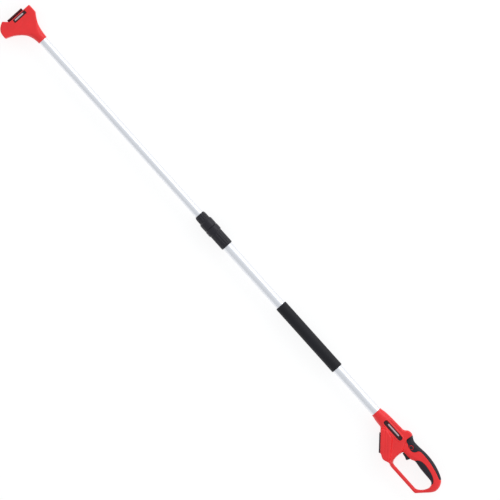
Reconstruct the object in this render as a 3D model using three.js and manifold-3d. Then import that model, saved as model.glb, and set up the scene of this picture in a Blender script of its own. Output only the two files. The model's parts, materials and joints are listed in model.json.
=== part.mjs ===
// A telescopic extension pole for cordless garden tools. It lies on its right side: +X runs along the
// pole from the tool head to the handle, +Y points to the back of the grip, +Z is up. Millimetres.
import * as THREE from "three";
import { mergeVertices } from "three/addons/utils/BufferGeometryUtils.js";
import Module from "manifold-3d";

const wasm = await Module();
wasm.setup();

// ---- driving dimensions -------------------------------------------------------------------------
const GAP = 0.3; // between pieces that touch
const HALF_GAP = GAP / 2;
const WALL = 2.8; // moulded shells
const HALF_WIDTH = 34; // head and battery housing, side to side
const ROUND = 32; // sides of a large round part
const SMALL_ROUND = 10; // sides of a small round part

const NECK_X = -864; // end of the head's neck, where the upper tube comes out
const MOUTH_X = 683; // mouth of the handle, where the lower tube goes in
const HEAD_REACH = 125.5; // from the neck's end to the tip of the head's foot
const HANDLE_LENGTH = 306.5; // from the mouth to the rear of the handle
const HEAD_TOP = 42.3; // above the pole's axis
const HEAD_FOOT = 83.5; // below the pole's axis

const UPPER_TUBE_R = 14;
const LOWER_TUBE_R = 16;
const TUBE_WALL = 1.2;
const UPPER_TUBE_START = NECK_X - 60; // inside the head
const UPPER_TUBE_END = 72; // inside the lower tube
const LOWER_TUBE_START = -72; // inside the collar
const LOWER_TUBE_END = MOUTH_X + 118; // inside the handle

const FOAM_START = 240;
const FOAM_END = 502;
const FOAM_R = 19.3;

const NUT_START = -138.4; // tip of the twist nut, towards the head
const NUT_END = -84.2; // parting line between nut and collar
const COLLAR_END = -8.2;
const SPIGOT_START = -103; // threaded end of the collar, under the nut
const FLANGE_END = -64;
const NUT_TIP_R = 15.6;
const NUT_GRIP_R = 18.6;
const NUT_BARREL_R = 21.7;
const FLANGE_R = 22.3;
const SLEEVE_R = 20.1;
const SPIGOT_R = 18.4;
const RIBS = 16;
const RIB_DEPTH = 0.9;

const LEAD_R = 8; // outside of the coiled lead's turns
const WIRE_R = 2;

const HOUSING_HALF_WIDTH = 24;
const GRIP_HALF_WIDTH = 17;
const LIMB_HALF_WIDTH = 13;
const GUARD_HALF_WIDTH = 9;
const RUBBER = 1.5; // thickness of the soft overmould

// ---- from three.js geometry to solids and back --------------------------------------------------
function solidOf(geometry) {
  const bare = geometry.index ? geometry.toNonIndexed() : geometry.clone();
  bare.deleteAttribute("normal");
  bare.deleteAttribute("uv");
  return closedSolid(mergeVertices(bare, 1e-4));
}

function closedSolid(indexed) {
  const vertProperties = indexed.attributes.position.array;
  const triVerts = new Uint32Array(indexed.index.array);
  return new wasm.Manifold(new wasm.Mesh({ numProp: 3, vertProperties, triVerts }));
}

function geometryOf(solid) {
  const { vertProperties, triVerts } = solid.getMesh();
  const geometry = new THREE.BufferGeometry();
  geometry.setAttribute("position", new THREE.BufferAttribute(vertProperties, 3));
  geometry.setIndex(new THREE.BufferAttribute(triVerts, 1));
  geometry.computeVertexNormals();
  return geometry;
}

const joined = (first, ...others) => others.reduce((solid, next) => solid.add(next), first);
const cut = (first, ...others) => others.reduce((solid, next) => solid.subtract(next), first);

// A box from its lowest to its highest corner.
function block(x0, x1, y0, y1, z0, z1) {
  const box = new THREE.BoxGeometry(x1 - x0, y1 - y0, z1 - z0);
  return solidOf(box.translate((x0 + x1) / 2, (y0 + y1) / 2, (z0 + z1) / 2));
}

// A round rod between two points.
function rod(radius, from, to, sides = SMALL_ROUND) {
  const start = new THREE.Vector3(...from);
  const end = new THREE.Vector3(...to);
  const along = end.clone().sub(start);
  const turn = new THREE.Quaternion().setFromUnitVectors(
    new THREE.Vector3(0, 1, 0),
    along.clone().normalize(),
  );
  const cylinder = new THREE.CylinderGeometry(radius, radius, along.length(), sides);
  cylinder.applyQuaternion(turn);
  return solidOf(cylinder.translate(...start.add(end).multiplyScalar(0.5)));
}

// A turned part on the X axis. Its closed profile is a list of [x, radius].
function turned(profile, sides = ROUND) {
  const points = profile.map(([x, radius]) => new THREE.Vector2(radius, x));
  if (THREE.ShapeUtils.area(points) < 0) points.reverse();
  points.push(points[0].clone());
  const lathe = new THREE.LatheGeometry(points, sides);
  return solidOf(lathe.rotateZ(-Math.PI / 2));
}

const pipe = (x0, x1, inner, outer, sides = ROUND) =>
  turned([[x0, inner], [x1, inner], [x1, outer], [x0, outer]], sides);

// A flat shape in X and Y, thickened from z0 to z1.
function plate(shape, z0, z1, curveSegments = 4) {
  const options = { depth: z1 - z0, bevelEnabled: false, curveSegments };
  return solidOf(new THREE.ExtrudeGeometry(shape, options).translate(0, 0, z0));
}

// A closed outline from a list of points, each [x, y].
const polygon = (points) => new THREE.Shape(points.map(([x, y]) => new THREE.Vector2(x, y)));

// The corners of a shape, anticlockwise, without repeats.
function cornersOf(shape, curveSegments) {
  const points = shape.getPoints(curveSegments);
  if (THREE.ShapeUtils.isClockWise(points)) points.reverse();
  return points.filter((p, i) => p.distanceTo(points[(i + 1) % points.length]) > 1e-3);
}

// Where each corner goes when the outline is drawn smaller by a margin. Corners move along their
// bisectors, and the two ends of an edge that would turn round become one corner.
function insetCorners(corners, margin) {
  let ring = corners.map((p, i) => ({ at: p.clone(), members: [i] }));
  for (;;) {
    const last = ring.length - 1;
    const sides = ring.map(({ at }, i) => ring[i < last ? i + 1 : 0].at.clone().sub(at).normalize());
    ring.forEach((corner, i) => {
      const a = sides[i > 0 ? i - 1 : last];
      const b = sides[i];
      const inward = new THREE.Vector2(-a.y - b.y, a.x + b.x).normalize();
      const lift = margin / Math.max(0.4, inward.dot(new THREE.Vector2(-a.y, a.x)));
      corner.moved = corner.at.clone().addScaledVector(inward, lift);
    });
    const turnedRound = sides.findIndex(
      (side, i) => ring[i < last ? i + 1 : 0].moved.clone().sub(ring[i].moved).dot(side) < 0.01,
    );
    if (turnedRound < 0) break;
    const next = turnedRound < last ? turnedRound + 1 : 0;
    ring[turnedRound].at.add(ring[next].at).multiplyScalar(0.5);
    ring[turnedRound].members.push(...ring[next].members);
    ring = ring.filter((corner, i) => i !== next);
  }
  const moved = [];
  ring.forEach((corner) => corner.members.forEach((i) => (moved[i] = corner.moved)));
  return moved;
}

function shrunk(shape, margin, curveSegments = 4) {
  const moved = insetCorners(cornersOf(shape, curveSegments), margin);
  return new THREE.Shape(moved.filter((p, i) => p !== moved[(i + 1) % moved.length]));
}

// A flat shape thickened to both sides of the middle plane, with rounded edges.
function rounded(shape, halfWidth, edge, curveSegments = 4, steps = 2) {
  const corners = cornersOf(shape, curveSegments);
  const levels = [];
  for (let i = 0; i <= steps; i++) {
    const angle = ((i / steps) * Math.PI) / 2;
    const z = halfWidth - edge + edge * Math.cos(angle);
    levels.push({ z, ring: insetCorners(corners, edge * (1 - Math.sin(angle))) });
  }
  levels.push(...levels.map(({ z, ring }) => ({ z: -z, ring })).reverse());
  const count = corners.length;
  const position = levels.flatMap(({ z, ring }) => ring.flatMap((p) => [p.x, p.y, z]));
  const index = [];
  for (const [a, b, c] of THREE.ShapeUtils.triangulateShape(corners, [])) {
    const below = (levels.length - 1) * count;
    index.push(a, b, c, below + a, below + c, below + b);
  }
  for (let level = 0; level < levels.length - 1; level++) {
    for (let i = 0; i < count; i++) {
      const here = level * count + i;
      const beside = level * count + ((i + 1) % count);
      index.push(here, here + count, beside, beside, here + count, beside + count);
    }
  }
  const geometry = new THREE.BufferGeometry();
  geometry.setAttribute("position", new THREE.Float32BufferAttribute(position, 3));
  geometry.setIndex(index);
  return closedSolid(geometry);
}

// A round-ended or round-cornered rectangle.
function softRectangle(x0, x1, y0, y1, radius) {
  const shape = new THREE.Shape();
  shape.moveTo(x0 + radius, y0);
  shape.lineTo(x1 - radius, y0);
  shape.absarc(x1 - radius, y0 + radius, radius, -Math.PI / 2, 0);
  shape.lineTo(x1, y1 - radius);
  shape.absarc(x1 - radius, y1 - radius, radius, 0, Math.PI / 2);
  shape.lineTo(x0 + radius, y1);
  shape.absarc(x0 + radius, y1 - radius, radius, Math.PI / 2, Math.PI);
  shape.lineTo(x0, y0 + radius);
  shape.absarc(x0 + radius, y0 + radius, radius, Math.PI, 1.5 * Math.PI);
  return shape;
}

// Keeps what lies on the left of the middle plane.
const BIG = 500;
const leftHalf = (solid) => solid.subtract(block(-BIG, BIG, -BIG, BIG, -BIG, HALF_GAP));

// ---- materials ----------------------------------------------------------------------------------
const MATERIALS = {
  red: { color: 0xd8262b, roughness: 0.38, metalness: 0 },
  darkRed: { color: 0x5a1518, roughness: 0.5, metalness: 0 },
  rubber: { color: 0x26262b, roughness: 0.75, metalness: 0 },
  black: { color: 0x1c1c20, roughness: 0.5, metalness: 0 },
  foam: { color: 0x222226, roughness: 0.92, metalness: 0 },
  aluminium: { color: 0xd9dce2, roughness: 0.3, metalness: 1 },
  steel: { color: 0x8c8f94, roughness: 0.35, metalness: 1 },
  brass: { color: 0xb8913f, roughness: 0.35, metalness: 1 },
  badge: { color: 0x141416, roughness: 0.25, metalness: 0 },
};

function material(name) {
  return new THREE.MeshStandardMaterial(MATERIALS[name]);
}

function addNode(group, name, solid, materialName, mirrored = false) {
  const mesh = new THREE.Mesh(geometryOf(solid), material(materialName));
  mesh.name = name;
  if (mirrored) mesh.scale.z = -1;
  group.add(mesh);
}

// ---- screws and springs -------------------------------------------------------------------------
const SCREW_R = 1.5;
const SCREW_HEAD_R = 3;
const SCREW_HEAD_DEPTH = 2.4;
const SCREW_REACH = 8; // into the left shell
const BOSS_R = 3.8; // post round a screw
const COUNTERBORE = 4; // from the shell's face to the screw's head

// A pan-head screw that goes in from the right, at [x, y], with its head under a face at -halfWidth.
function screw([x, y], halfWidth) {
  const headZ = -(halfWidth - COUNTERBORE);
  const head = rod(SCREW_HEAD_R, [x, y, headZ], [x, y, headZ + SCREW_HEAD_DEPTH]);
  return head.add(rod(SCREW_R, [x, y, headZ + 1], [x, y, SCREW_REACH]));
}

// The post for one screw in a shell half, and the hole that it needs there.
function screwPost([x, y], height) {
  return rod(BOSS_R, [x, y, HALF_GAP], [x, y, height]);
}

function screwHole([x, y], halfWidth, onRight) {
  const shank = rod(SCREW_R + GAP, [x, y, -1], [x, y, SCREW_REACH + GAP]);
  if (!onRight) return shank;
  const seat = halfWidth - COUNTERBORE - SCREW_HEAD_DEPTH - GAP;
  return joined(
    rod(SCREW_R + GAP, [x, y, -1], [x, y, halfWidth]),
    rod(SCREW_HEAD_R + GAP, [x, y, seat], [x, y, halfWidth + 1]),
  );
}

// The space that a coil spring takes, as a sleeve between two points.
function springSleeve(inner, outer, from, to) {
  return rod(outer, from, to).subtract(rod(inner, extend(to, from, 1), extend(from, to, 1)));
}

// The point that lies a distance past "to" on the line from "from".
function extend(from, to, distance) {
  const a = new THREE.Vector3(...from);
  const b = new THREE.Vector3(...to);
  return b.add(b.clone().sub(a).setLength(distance)).toArray();
}

// A wire along a smooth line through some points.
function wire(points, radius = WIRE_R) {
  const path = new THREE.CatmullRomCurve3(points.map((p) => new THREE.Vector3(...p)));
  const section = new THREE.Shape().absarc(0, 0, radius, 0, 2 * Math.PI);
  const options = { steps: 8, extrudePath: path, bevelEnabled: false, curveSegments: 4 };
  return solidOf(new THREE.ExtrudeGeometry(section, options));
}

// ---- tubes, foam grip and collar ----------------------------------------------------------------
const BUSH_LENGTH = 5.7;
const BUSH_SPIGOT = 22;
const FOAM_END_ROUND = 3;
const HEAD_SCREW_P = -30; // the screw that holds the upper tube in the neck

function upperTube() {
  const inner = UPPER_TUBE_R - TUBE_WALL;
  const tube = pipe(UPPER_TUBE_START, UPPER_TUBE_END, inner, UPPER_TUBE_R);
  const x = NECK_X + HEAD_SCREW_P;
  return tube.subtract(rod(SCREW_R + GAP, [x, 0, -UPPER_TUBE_R - 1], [x, 0, -inner + 1]));
}

function lowerTube() {
  return pipe(LOWER_TUBE_START, LOWER_TUBE_END, LOWER_TUBE_R - TUBE_WALL, LOWER_TUBE_R);
}

// The bush on the upper tube's inner end, which runs inside the lower tube.
function guideBush() {
  const bore = LEAD_R + 1.5;
  const spigotR = UPPER_TUBE_R - TUBE_WALL - GAP;
  const runner = LOWER_TUBE_R - TUBE_WALL - GAP;
  const start = UPPER_TUBE_END + GAP;
  return turned([
    [start - BUSH_SPIGOT, bore],
    [start + BUSH_LENGTH, bore],
    [start + BUSH_LENGTH, runner],
    [start, runner],
    [start, spigotR],
    [start - BUSH_SPIGOT, spigotR],
  ]);
}

function foamGrip() {
  const inner = LOWER_TUBE_R + GAP;
  const r = FOAM_END_ROUND;
  const corner = (x, side, steps = 3) =>
    Array.from({ length: steps + 1 }, (_, i) => {
      const angle = (Math.PI / 2) * (i / steps);
      const share = side > 0 ? angle : Math.PI / 2 - angle;
      return [x - side * r + side * r * Math.sin(share), FOAM_R - r + r * Math.cos(share)];
    });
  return turned([
    [FOAM_START, inner],
    ...corner(FOAM_START, -1),
    ...corner(FOAM_END, 1),
    [FOAM_END, inner],
  ]);
}

// Long shallow grooves that leave ribs round a grip.
function ribGrooves(x0, x1, radius) {
  const width = (Math.PI * radius) / RIBS;
  const grooves = [];
  for (let i = 0; i < RIBS; i += 1) {
    const bar = new THREE.BoxGeometry(x1 - x0, 2 * RIB_DEPTH, width);
    bar.translate((x0 + x1) / 2, radius, 0);
    bar.rotateX((2 * Math.PI * (i + 0.5)) / RIBS);
    grooves.push(solidOf(bar));
  }
  return grooves;
}

// The nut turns on the collar's thread and squeezes the collet on the upper tube.
const COLLET_START = -131;
const COLLET_END = -105;
const COLLET_R = 16.6;
const COLLET_TIP_R = 15.6;
const NUT_CAVITY_R = SPIGOT_R + 0.4;

function collarNut() {
  const bore = UPPER_TUBE_R + 0.4;
  const body = turned([
    [NUT_START, bore],
    [NUT_START, NUT_TIP_R],
    [NUT_START + 3.5, NUT_GRIP_R - 0.8],
    [NUT_START + 9.4, NUT_GRIP_R],
    [NUT_START + 26, NUT_GRIP_R],
    [NUT_START + 29.4, NUT_BARREL_R],
    [NUT_END - 1, NUT_BARREL_R],
    [NUT_END, NUT_BARREL_R - 1],
    [NUT_END, NUT_CAVITY_R],
    [COLLET_END + 1, NUT_CAVITY_R],
    [COLLET_END + 1, COLLET_R + GAP],
    [COLLET_START - GAP, COLLET_TIP_R + GAP],
    [COLLET_START - GAP, bore],
  ]);
  return cut(body, ...ribGrooves(NUT_START + 8, NUT_START + 24, NUT_GRIP_R + 0.1));
}

function collarBody() {
  const thread = UPPER_TUBE_R + 0.6;
  const socket = LOWER_TUBE_R + GAP;
  const body = turned([
    [SPIGOT_START, thread],
    [SPIGOT_START, SPIGOT_R - 1],
    [SPIGOT_START + 1, SPIGOT_R],
    [NUT_END + GAP, SPIGOT_R],
    [NUT_END + GAP, FLANGE_R - 1.2],
    [NUT_END + 3, FLANGE_R],
    [FLANGE_END, FLANGE_R],
    [FLANGE_END + 1.5, SLEEVE_R],
    [COLLAR_END - 2.5, SLEEVE_R],
    [COLLAR_END, SLEEVE_R - 2],
    [COLLAR_END, socket],
    [LOWER_TUBE_START - GAP, socket],
    [LOWER_TUBE_START - GAP, thread],
  ]);
  return cut(body, ...ribGrooves(FLANGE_END + 5, COLLAR_END - 5, SLEEVE_R + 0.1));
}

function collet() {
  const bore = UPPER_TUBE_R + GAP;
  const ring = turned([
    [COLLET_START, bore],
    [COLLET_START, COLLET_TIP_R],
    [COLLET_END, COLLET_R],
    [COLLET_END, bore],
  ]);
  return ring.subtract(block(COLLET_START - 1, COLLET_END + 1, 0, COLLET_R + 2, -1.5, 1.5));
}

// ---- head: coordinates run from the neck's end (p = 0) to the tip (p = -HEAD_REACH) ---------------
const HEAD_FACE = -110; // front face of the shell
const FLANGE_BACK = -85; // where the sides start to taper to the neck
const NECK_R = 15.6;
const HEAD_EDGE = 3;
const PLATE_TOP = -118.4; // docking rails
const RAIL_THICKNESS = 4.1;
const RAIL_HALF_WIDTH = 27;
const STEM_HALF_WIDTH = 21;
const PLATE_LOW = -42;
const PLATE_HIGH = 16.4;
const HEAD_SCREWS = [[-95, 33], [-93, -72], [-64, 21.5], [-60, -27]];
const HEAD_SCREW_FACE = 26; // the screws' heads sit this deep from the middle plane
const HEAD_BADGE = softRectangle(-107, -96, -28.4, 19.7, 2);
const BADGE_DEPTH = 1;

// Side view of the head.
function headSide() {
  const shape = new THREE.Shape();
  shape.moveTo(0, NECK_R);
  shape.bezierCurveTo(-22, 17, -42, 19.5, -56, 26.5);
  shape.bezierCurveTo(-66, 31.5, -74, 37, -80.6, HEAD_TOP);
  shape.lineTo(HEAD_FACE + 2.5, HEAD_TOP);
  shape.lineTo(HEAD_FACE, HEAD_TOP - 2.5);
  shape.lineTo(HEAD_FACE, -39);
  shape.lineTo(-HEAD_REACH, -54.7);
  shape.bezierCurveTo(-121, -66, -112, -82, -94, -82.6);
  shape.lineTo(-80.6, -HEAD_FOOT);
  shape.bezierCurveTo(-77, -72, -68, -48, -46, -29.5);
  shape.bezierCurveTo(-34, -20, -18, -16.5, 0, -NECK_R);
  return shape;
}

// Plan view of the head, one side after the other.
function headPlan() {
  const shape = new THREE.Shape();
  shape.moveTo(0, NECK_R);
  shape.bezierCurveTo(-40, 19, -62, 22, FLANGE_BACK, HALF_WIDTH);
  shape.lineTo(-HEAD_REACH - 10, HALF_WIDTH);
  shape.lineTo(-HEAD_REACH - 10, -HALF_WIDTH);
  shape.lineTo(FLANGE_BACK, -HALF_WIDTH);
  shape.bezierCurveTo(-62, -22, -40, -19, 0, -NECK_R);
  return shape;
}

// The head's outer form, or the same form made smaller by inset.
function headForm(inset = 0) {
  const width = HALF_WIDTH - inset;
  const shrunkSide = () => plate(shrunk(headSide(), inset), -width, width);
  const side = inset ? shrunkSide() : rounded(headSide(), width, HEAD_EDGE);
  const plan = new THREE.ExtrudeGeometry(shrunk(headPlan(), inset), { depth: 200, bevelEnabled: false });
  plan.translate(0, 0, -100);
  plan.rotateX(Math.PI / 2);
  const horn = turned([
    [1, 0],
    [1, NECK_R - inset],
    [-20, NECK_R + 1.5 - inset],
    [-45, NECK_R + 14 - inset],
    [-70, NECK_R + 55 - inset],
    [-90, 140],
    [-HEAD_REACH - 5, 140],
    [-HEAD_REACH - 5, 0],
  ]);
  return side.intersect(solidOf(plan)).intersect(horn);
}

// The button and hook that release the tool from the head are one piece, pushed towards the handle.
const LATCH_TRAVEL = 4;
const BUTTON_HALF_WIDTH = 13;
const HOOK_HALF_WIDTH = 7.7;

function buttonShape() {
  return polygon([
    [-121.5, -57], [-121.8, -62], [-117.5, -69], [-111, -75.8],
    [-107, -72], [-113, -65], [-116.5, -57],
  ]);
}

function headLatch() {
  const hook = polygon([[-117.8, -31.6], [-103, -31.6], [-103, -39.5], [-113.5, -39.5]]);
  return joined(
    plate(hook, -HOOK_HALF_WIDTH, HOOK_HALF_WIDTH),
    block(-103.7, -100, -68, -31.6, -HOOK_HALF_WIDTH, HOOK_HALF_WIDTH),
    block(-114, -100, -68, -62, -6, 6),
    plate(buttonShape(), -BUTTON_HALF_WIDTH, BUTTON_HALF_WIDTH),
  );
}

// The opening in the foot that the button moves in, from its rest to the end of its travel.
function latchWindow() {
  const opening = polygon([
    [-130, -56.6], [-112.1, -56.6], [-108.6, -64.8], [-102.6, -71.7], [-102.6, -72.8],
    [-113, -82.5], [-130, -82.5],
  ]);
  return plate(opening, -1, BUTTON_HALF_WIDTH + 0.4);
}

function headShell(onRight) {
  const outer = leftHalf(headForm());
  const cavity = headForm(WALL);
  const tubeSeat = rod(UPPER_TUBE_R + GAP, [-60 - GAP, 0, 0], [2, 0, 0], ROUND);
  const seatBlock = rod(UPPER_TUBE_R + 3, [-58, 0, 0], [-4, 0, 0], ROUND).intersect(headForm(1));
  const posts = HEAD_SCREWS.map((place) => screwPost(place, HALF_WIDTH).intersect(headForm(1)));
  const springRib = block(-88, -85, -62, -48, HALF_GAP, 10);
  const ribTie = block(-88, -85, -62, -48, HALF_GAP, HALF_WIDTH).intersect(headForm(1));
  const inserts = [seatBlock, ...posts, springRib.add(ribTie)];
  const filled = joined(cut(outer, cavity), ...inserts.map(leftHalf));
  const windowBack = HEAD_FACE + WALL + 1;
  const windowHalf = STEM_HALF_WIDTH + GAP;
  const dockWindow = block(-130, windowBack, PLATE_LOW - GAP, PLATE_HIGH + GAP, -1, windowHalf);
  const badge = plate(shrunk(HEAD_BADGE, -GAP), HALF_WIDTH - BADGE_DEPTH - GAP, HALF_WIDTH + 1);
  const holes = HEAD_SCREWS.map((place) => screwHole(place, HEAD_SCREW_FACE, onRight));
  const wells = HEAD_SCREWS.map(([x, y]) =>
    rod(SCREW_HEAD_R + GAP, [x, y, HEAD_SCREW_FACE - COUNTERBORE], [x, y, HALF_WIDTH + 1]));
  const tubeScrew = joined(
    rod(SCREW_R + GAP, [HEAD_SCREW_P, 0, 0], [HEAD_SCREW_P, 0, 30]),
    rod(SCREW_HEAD_R + GAP, [HEAD_SCREW_P, 0, 15.2], [HEAD_SCREW_P, 0, 30]),
  );
  const openings = [tubeSeat, dockWindow, badge, latchWindow(), ...holes];
  if (onRight) openings.push(...wells, tubeScrew);
  return cut(filled, ...openings);
}

function dockPlate() {
  const stemHalf = STEM_HALF_WIDTH;
  const stem = block(PLATE_TOP + RAIL_THICKNESS - 0.2, -104, PLATE_LOW, PLATE_HIGH, -stemHalf, stemHalf);
  const rails = softRectangle(PLATE_LOW, PLATE_HIGH, -RAIL_HALF_WIDTH, RAIL_HALF_WIDTH, 2);
  const options = { depth: RAIL_THICKNESS, bevelEnabled: false, curveSegments: 3 };
  const top = new THREE.ExtrudeGeometry(rails, options);
  top.rotateX(Math.PI / 2);
  top.rotateZ(Math.PI / 2);
  top.translate(PLATE_TOP, 0, 0);
  const lipStart = HEAD_FACE + WALL + GAP;
  const lip = block(lipStart, -104, PLATE_LOW + 4, PLATE_HIGH - 4, -stemHalf - 3, stemHalf + 3);
  const contactWindow = block(-125, -100, -8, 12, -12.5, 12.5);
  const hookWindow = block(-125, -100, -40, -31, -HOOK_HALF_WIDTH - GAP, HOOK_HALF_WIDTH + GAP);
  return cut(joined(stem, solidOf(top), lip), contactWindow, hookWindow);
}

function headContactBlock() {
  const body = block(PLATE_TOP + 0.4, -101, -7.7, 11.7, -12.2, 12.2);
  const slots = [-8, 0, 8].map((z) => block(-125, -106, -5, 14, z - 1.2, z + 1.2));
  return cut(body, ...slots);
}

const headContact = (z) => block(-114, -106 - GAP, -4, 9, z - 0.5, z + 0.5);

function buildHead() {
  const head = new THREE.Group();
  head.position.x = NECK_X;
  addNode(head, "head_shell_left", headShell(false), "red");
  addNode(head, "head_shell_right", headShell(true), "red", true);
  addNode(head, "head_dock_rails", dockPlate(), "darkRed");
  addNode(head, "head_contact_block", headContactBlock(), "black");
  addNode(head, "head_contact_left", headContact(8), "brass");
  addNode(head, "head_contact_middle", headContact(0), "brass");
  addNode(head, "head_contact_right", headContact(-8), "brass");
  addNode(head, "head_release_latch", headLatch(), "red");
  const latchSpring = springSleeve(2.2, 3, [-100 + GAP, -55, 0], [-88 - GAP, -55, 0]);
  addNode(head, "head_latch_spring", latchSpring, "steel");
  const badge = plate(HEAD_BADGE, HALF_WIDTH - BADGE_DEPTH, HALF_WIDTH - 0.1);
  addNode(head, "head_badge_left", badge, "badge");
  addNode(head, "head_badge_right", badge, "badge", true);
  HEAD_SCREWS.forEach((place, i) =>
    addNode(head, `head_screw_${i + 1}`, screw(place, HEAD_SCREW_FACE), "steel"));
  const seat = -17.2 + GAP;
  const tubeScrew = joined(
    rod(SCREW_HEAD_R, [HEAD_SCREW_P, 0, seat], [HEAD_SCREW_P, 0, seat + 1.4]),
    rod(SCREW_R, [HEAD_SCREW_P, 0, seat + 1], [HEAD_SCREW_P, 0, -11.5]),
  );
  addNode(head, "head_tube_screw", tubeScrew, "steel");
  return head;
}

// ---- handle: coordinates run from the mouth (u = 0) to the rear (u = HANDLE_LENGTH) ---------------
const BOSS_LOW = -82.8;
const GUARD_LOW = -80;
const LOOP_LOW = -68.2;
const GRIP_TOP = 29.5;
const HUMP_TOP = 37.5;
const SOCKET_R = 17.6;

// Back of the handle, from the hump's foot over the grip to its rearmost point.
function alongBack(shape) {
  shape.bezierCurveTo(105, 26.5, 106, HUMP_TOP, 119, HUMP_TOP);
  shape.bezierCurveTo(134, HUMP_TOP, 136, 26, 153, 26);
  shape.bezierCurveTo(178, 26, 185, GRIP_TOP, 207, GRIP_TOP);
  shape.bezierCurveTo(240, GRIP_TOP, 270, 21, 287, 12);
  shape.bezierCurveTo(300, 5, HANDLE_LENGTH, -10, HANDLE_LENGTH, -22);
  return shape;
}

// Upper edge of the finger loop, from the rear to the trigger.
function underGrip(shape) {
  shape.bezierCurveTo(284, -24, 279, -17.8, 268, -17.2);
  shape.lineTo(234, -16.4);
  shape.bezierCurveTo(215, -16, 205, -13, 197, -13);
  shape.bezierCurveTo(190, -13, 186, -18, 180, -21.7);
  return shape;
}

// Front housing, from the socket's rear end to the finger loop.
function housingShape() {
  const shape = new THREE.Shape();
  shape.moveTo(14, 20);
  shape.lineTo(26, 21.5);
  shape.lineTo(96, 25.2);
  shape.bezierCurveTo(105, 26.5, 106, HUMP_TOP, 119, HUMP_TOP);
  shape.lineTo(127, 30);
  shape.lineTo(134, 2);
  shape.bezierCurveTo(138, -14, 147.5, -20, 147.5, -31);
  shape.lineTo(145.7, -40);
  shape.bezierCurveTo(145, -54, 147, -64, 150, -70);
  shape.lineTo(146, -76.5);
  shape.bezierCurveTo(134, -78, 132, BOSS_LOW, 122.5, BOSS_LOW);
  shape.bezierCurveTo(114, BOSS_LOW, 114, -77, 104, -77);
  shape.lineTo(101, -75.5);
  shape.lineTo(48, -25);
  shape.lineTo(26, -20.5);
  shape.lineTo(14, -19);
  return shape;
}

// The wide block that carries the battery dock.
function dockBlockShape() {
  const shape = new THREE.Shape();
  shape.moveTo(48, -25);
  shape.lineTo(101, -75.5);
  shape.lineTo(104, -77);
  shape.bezierCurveTo(114, -77, 114, BOSS_LOW, 122.5, BOSS_LOW);
  shape.bezierCurveTo(130, BOSS_LOW, 132, -78, 142, -77);
  shape.lineTo(142, -70);
  shape.lineTo(91, -16);
  shape.lineTo(62, -11);
  return shape;
}

function gripShape() {
  const shape = new THREE.Shape();
  shape.moveTo(96, 25.2);
  alongBack(shape);
  shape.lineTo(304, -34);
  shape.lineTo(284.6, -34);
  underGrip(shape);
  shape.lineTo(152, -23);
  shape.lineTo(144, -34);
  shape.lineTo(132, -30);
  shape.lineTo(104, -6);
  return shape;
}

// The thin guard round the fingers, with the limb that comes down from the grip.
function guardShape() {
  const shape = new THREE.Shape();
  shape.moveTo(287, 12);
  shape.bezierCurveTo(300, 5, HANDLE_LENGTH, -10, HANDLE_LENGTH, -22);
  shape.bezierCurveTo(HANDLE_LENGTH, -34, 297, -44, 287, -56);
  shape.lineTo(270, -77);
  shape.quadraticCurveTo(267.5, GUARD_LOW, 263, GUARD_LOW);
  shape.lineTo(158, GUARD_LOW);
  shape.bezierCurveTo(152, GUARD_LOW, 150, -77, 144, -76.5);
  shape.lineTo(136, -68);
  shape.lineTo(146.5, -54);
  shape.bezierCurveTo(148.5, -63, 152, LOOP_LOW, 161, LOOP_LOW);
  shape.lineTo(256, LOOP_LOW);
  shape.bezierCurveTo(268, LOOP_LOW, 284.6, -47, 284.6, -34);
  shape.bezierCurveTo(284, -24, 279, -17.8, 268, -17.2);
  shape.lineTo(268, -8);
  return shape;
}

// Where the grip narrows to the guard.
function limbShape() {
  const shape = new THREE.Shape();
  shape.moveTo(290, 0);
  shape.lineTo(301, -9);
  shape.lineTo(HANDLE_LENGTH, -22);
  shape.bezierCurveTo(HANDLE_LENGTH, -34, 297, -44, 289, -53.5);
  shape.lineTo(280.5, -48);
  shape.bezierCurveTo(283, -43, 284.6, -38, 284.6, -32);
  shape.lineTo(284, -14);
  return shape;
}

// Battery dock frame: a runs down the slanted face, b points out of it.
const DOCK_CENTRE = [74.5, -50.2];
const DOCK_TURN = Math.atan2(-50.5, 53);
const DOCK_RECESS = 7.3;

// Turns a solid made with X along the dock face and Y out of it into the handle's frame.
function onDock(solid) {
  const turnedBack = geometryOf(solid);
  turnedBack.scale(1, -1, -1);
  turnedBack.rotateZ(DOCK_TURN);
  turnedBack.translate(DOCK_CENTRE[0], DOCK_CENTRE[1], 0);
  return solidOf(turnedBack);
}

const HANDLE_SCREWS = [
  { place: [116, 30], face: 24 },
  { place: [118, -73], face: 34 },
  { place: [130, -30], face: 24 },
  { place: [202, 18], face: 17 },
  { place: [288, -6], face: 17 },
  { place: [168, -74.1], face: 11.5 },
  { place: [256, -74.1], face: 11.5 },
];

const PIVOT = [154, -16.5];
const PIN_R = 1.6;
const TRIGGER_HALF_WIDTH = 5.6;
const SLOT_HALF_WIDTH = 6.2;
const BUTTON = [155, 6.2];
const BUTTON_R = 5.4;
const BUTTON_TRAVEL = 3;
const BUTTON_CAP = 6;
const BUTTON_TOP = GRIP_HALF_WIDTH + 0.8;
const HANDLE_BADGE = softRectangle(39, 116.5, -7.1, 7.1, 7);
const RING_START = 108;
const RING_END = 117.7;
const RING_R = 20.4;

function socketForm() {
  return turned([
    [0, 0],
    [0, SOCKET_R],
    [6, SOCKET_R + 0.4],
    [20, 21.3],
    [36, 23],
    [60, 23.4],
    [60, 0],
  ]);
}

// The housing widens from the round socket, so it stays within this turned form.
function housingTaper(inset) {
  return turned([
    [10, 0],
    [10, 19.5 - inset],
    [20, 21.5 - inset],
    [36, 24 - inset],
    [56, 30 - inset],
    [90, 60 - inset],
    [120, 110],
    [170, 110],
    [170, 0],
  ]);
}

function housingForm() {
  return rounded(housingShape(), HOUSING_HALF_WIDTH, 6).intersect(housingTaper(0)).add(socketForm());
}

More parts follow.
